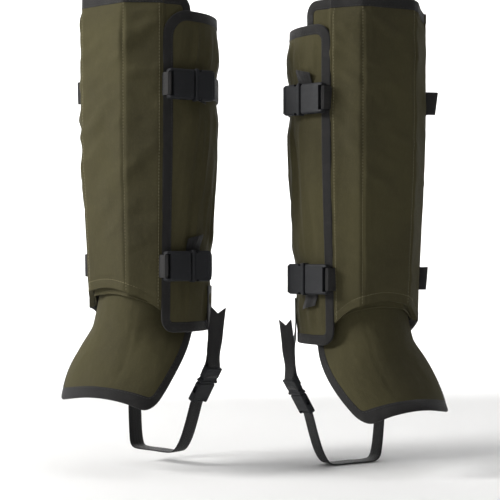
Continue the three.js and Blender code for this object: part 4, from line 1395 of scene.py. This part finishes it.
def foot_tail(leg):
    """The foot strap's loose end: out of the plug's top, up beside the strap, with a V cut."""
    middle, way, across, out, _ = buckle_frame(leg, "foot")
    loop = [(13.5, -3.2), (9.0, -2.6), (7.6, 0.2), (9.4, 2.6), (12.6, 3.0), (15.6, 1.6), (17.2, 0.6),
            (21.6, 1.4)]
    points = [middle + way * x * MM + out * z * MM for x, z in loop]
    tail = [(-68.4, 29.4, 122), (-69.4, 31.0, 138), (-70.2, 32.5, 154), (-72.5, 33.4, 173)]
    points += [leg.world(np.array(point) * MM) for point in tail]
    curve = spline(points, 1.0 * MM)
    run = unit(np.gradient(curve, axis=0))
    share = smooth(arc_lengths(curve), 20 * MM, 60 * MM)[:, None]
    facing = unit(-np.append(leg.outer, 0) - np.append(leg.back, 0) * 0.25)
    in_buckle = np.cross(run, across)
    in_buckle = in_buckle * np.sign(np.dot(in_buckle[-1], facing))
    route = Route(curve, unit(in_buckle * (1 - share) + facing * share))
    piece = ribbon(route, FOOT_STRAP_WIDTH - 0.5 * MM, 1.3 * MM, notch=7 * MM)
    finished(leg, "foot_strap_tail", "foot_plug", "black_webbing", [piece])


# ------------------------------------------------------------------------------------------------
# The pair

def shin_plates(leg):
    """The frame's own plates stay as they are and get their material."""
    for name in ("middle", "outer", "inner"):
        node = frame["nodes"][f"{leg.side}_shin_plate_{name}"]
        node.data.materials.clear()
        node.data.materials.append(PLATE_TINTED)


def gaiter(leg):
    shin_panel(leg)
    shin_binding(leg)
    shin_stitches(leg)
    inner_hem(leg)
    shin_plates(leg)
    wrap = calf_panel(leg)
    tape, seam = calf_binding(leg)
    row = side_seam(leg)
    size = (float(arc(CALF_EDGE) - arc(SIDE_CORNER)), float(CALF_TOP_EDGE - CALF_BOTTOM))
    for name in STRAP_HEIGHTS:
        calf_strap(leg, name)
        strap_tab(leg, name)
        strap_loop(leg, name)
        strap_tail(leg, name)
        buckle(leg, name)
        buckle_anchor(leg, name)
    instep_flap(leg)
    foot_strap(leg)
    foot_tail(leg)
    buckle(leg, "foot")


for leg in LEGS.values():
    gaiter(leg)


# ------------------------------------------------------------------------------------------------
# Floor, light and camera

CAMERA_DISTANCE = 1.46
CAMERA_HEIGHT = 0.001
LENS = 95.4
WORLD_STRENGTH = 0.15
FLOOR_GAP = 0.0006
FLOOR_FRONT = -14.0
FLOOR_HALF_WIDTH = 14.0
FLOOR_BACK = 1.6
FLOOR_BEND = 0.9
WALL_TOP = 4.0

# Each lamp's name, place, target, size, power and colour
LAMPS = [
    ("key_light", (-2.5, -0.62, 1.15), (0, 0, -0.1), 1.0, 96, (1.0, 0.99, 0.97)),
    ("front_fill", (-0.82, -2.25, 0.5), (0, 0, 0), 1.4, 5, (1, 1, 1)),
    ("top_light", (0.4, -0.2, 2.2), (0, 0, -0.2), 2.0, 14, (1, 1, 1)),
    ("wall_light", (0, 1.1, 1.2), (0, 2.6, 0.7), 2.0, 40, (1, 1, 1)),
]


def studio_floor():
    """A pale sweep: the floor, curved up into a wall far behind the pair."""
    low = CAD_BOX[0][2] - FLOOR_GAP
    turns = np.linspace(0, math.pi / 2, 16)[1:]
    profile = [(FLOOR_FRONT, low), (FLOOR_BACK, low)]
    profile += [(FLOOR_BACK + FLOOR_BEND * math.sin(t), low + FLOOR_BEND * (1 - math.cos(t))) for t in turns]
    profile += [(FLOOR_BACK + FLOOR_BEND, WALL_TOP)]
    points = [(x, y, z) for y, z in profile for x in (-FLOOR_HALF_WIDTH, FLOOR_HALF_WIDTH)]
    faces = [(i, i + 1, i + 3, i + 2) for i in range(0, len(points) - 2, 2)]
    mesh = bpy.data.meshes.new("studio_floor")
    mesh.from_pydata(points, [], faces)
    mesh.materials.append(floor_material())
    mesh.shade_smooth()
    linked("studio_floor", mesh)


def studio_light():
    for name, place, target, size, power, colour in LAMPS:
        light = bpy.data.lights.new(name, "AREA")
        light.shape = "DISK"
        light.size = size
        light.energy = power
        light.color = colour
        lamp = linked(name, light)
        lamp.location = place
        lamp.rotation_euler = (Vector(target) - Vector(place)).to_track_quat("-Z", "Y").to_euler()
    world = bpy.data.worlds.new("studio")
    world.use_nodes = True
    background = world.node_tree.nodes["Background"]
    background.inputs["Color"].default_value = (1, 1, 1, 1)
    background.inputs["Strength"].default_value = WORLD_STRENGTH
    bpy.context.scene.world = world
    bpy.context.scene.view_settings.view_transform = "Standard"


def camera():
    data = bpy.data.cameras.new("camera")
    data.lens = LENS
    eye = linked("camera", data)
    eye.location = (0, -CAMERA_DISTANCE, CAMERA_HEIGHT)
    eye.rotation_euler = (math.pi / 2, 0, 0)
    bpy.context.scene.camera = eye


studio_floor()
studio_light()
camera()

bpy.context.view_layer.update()
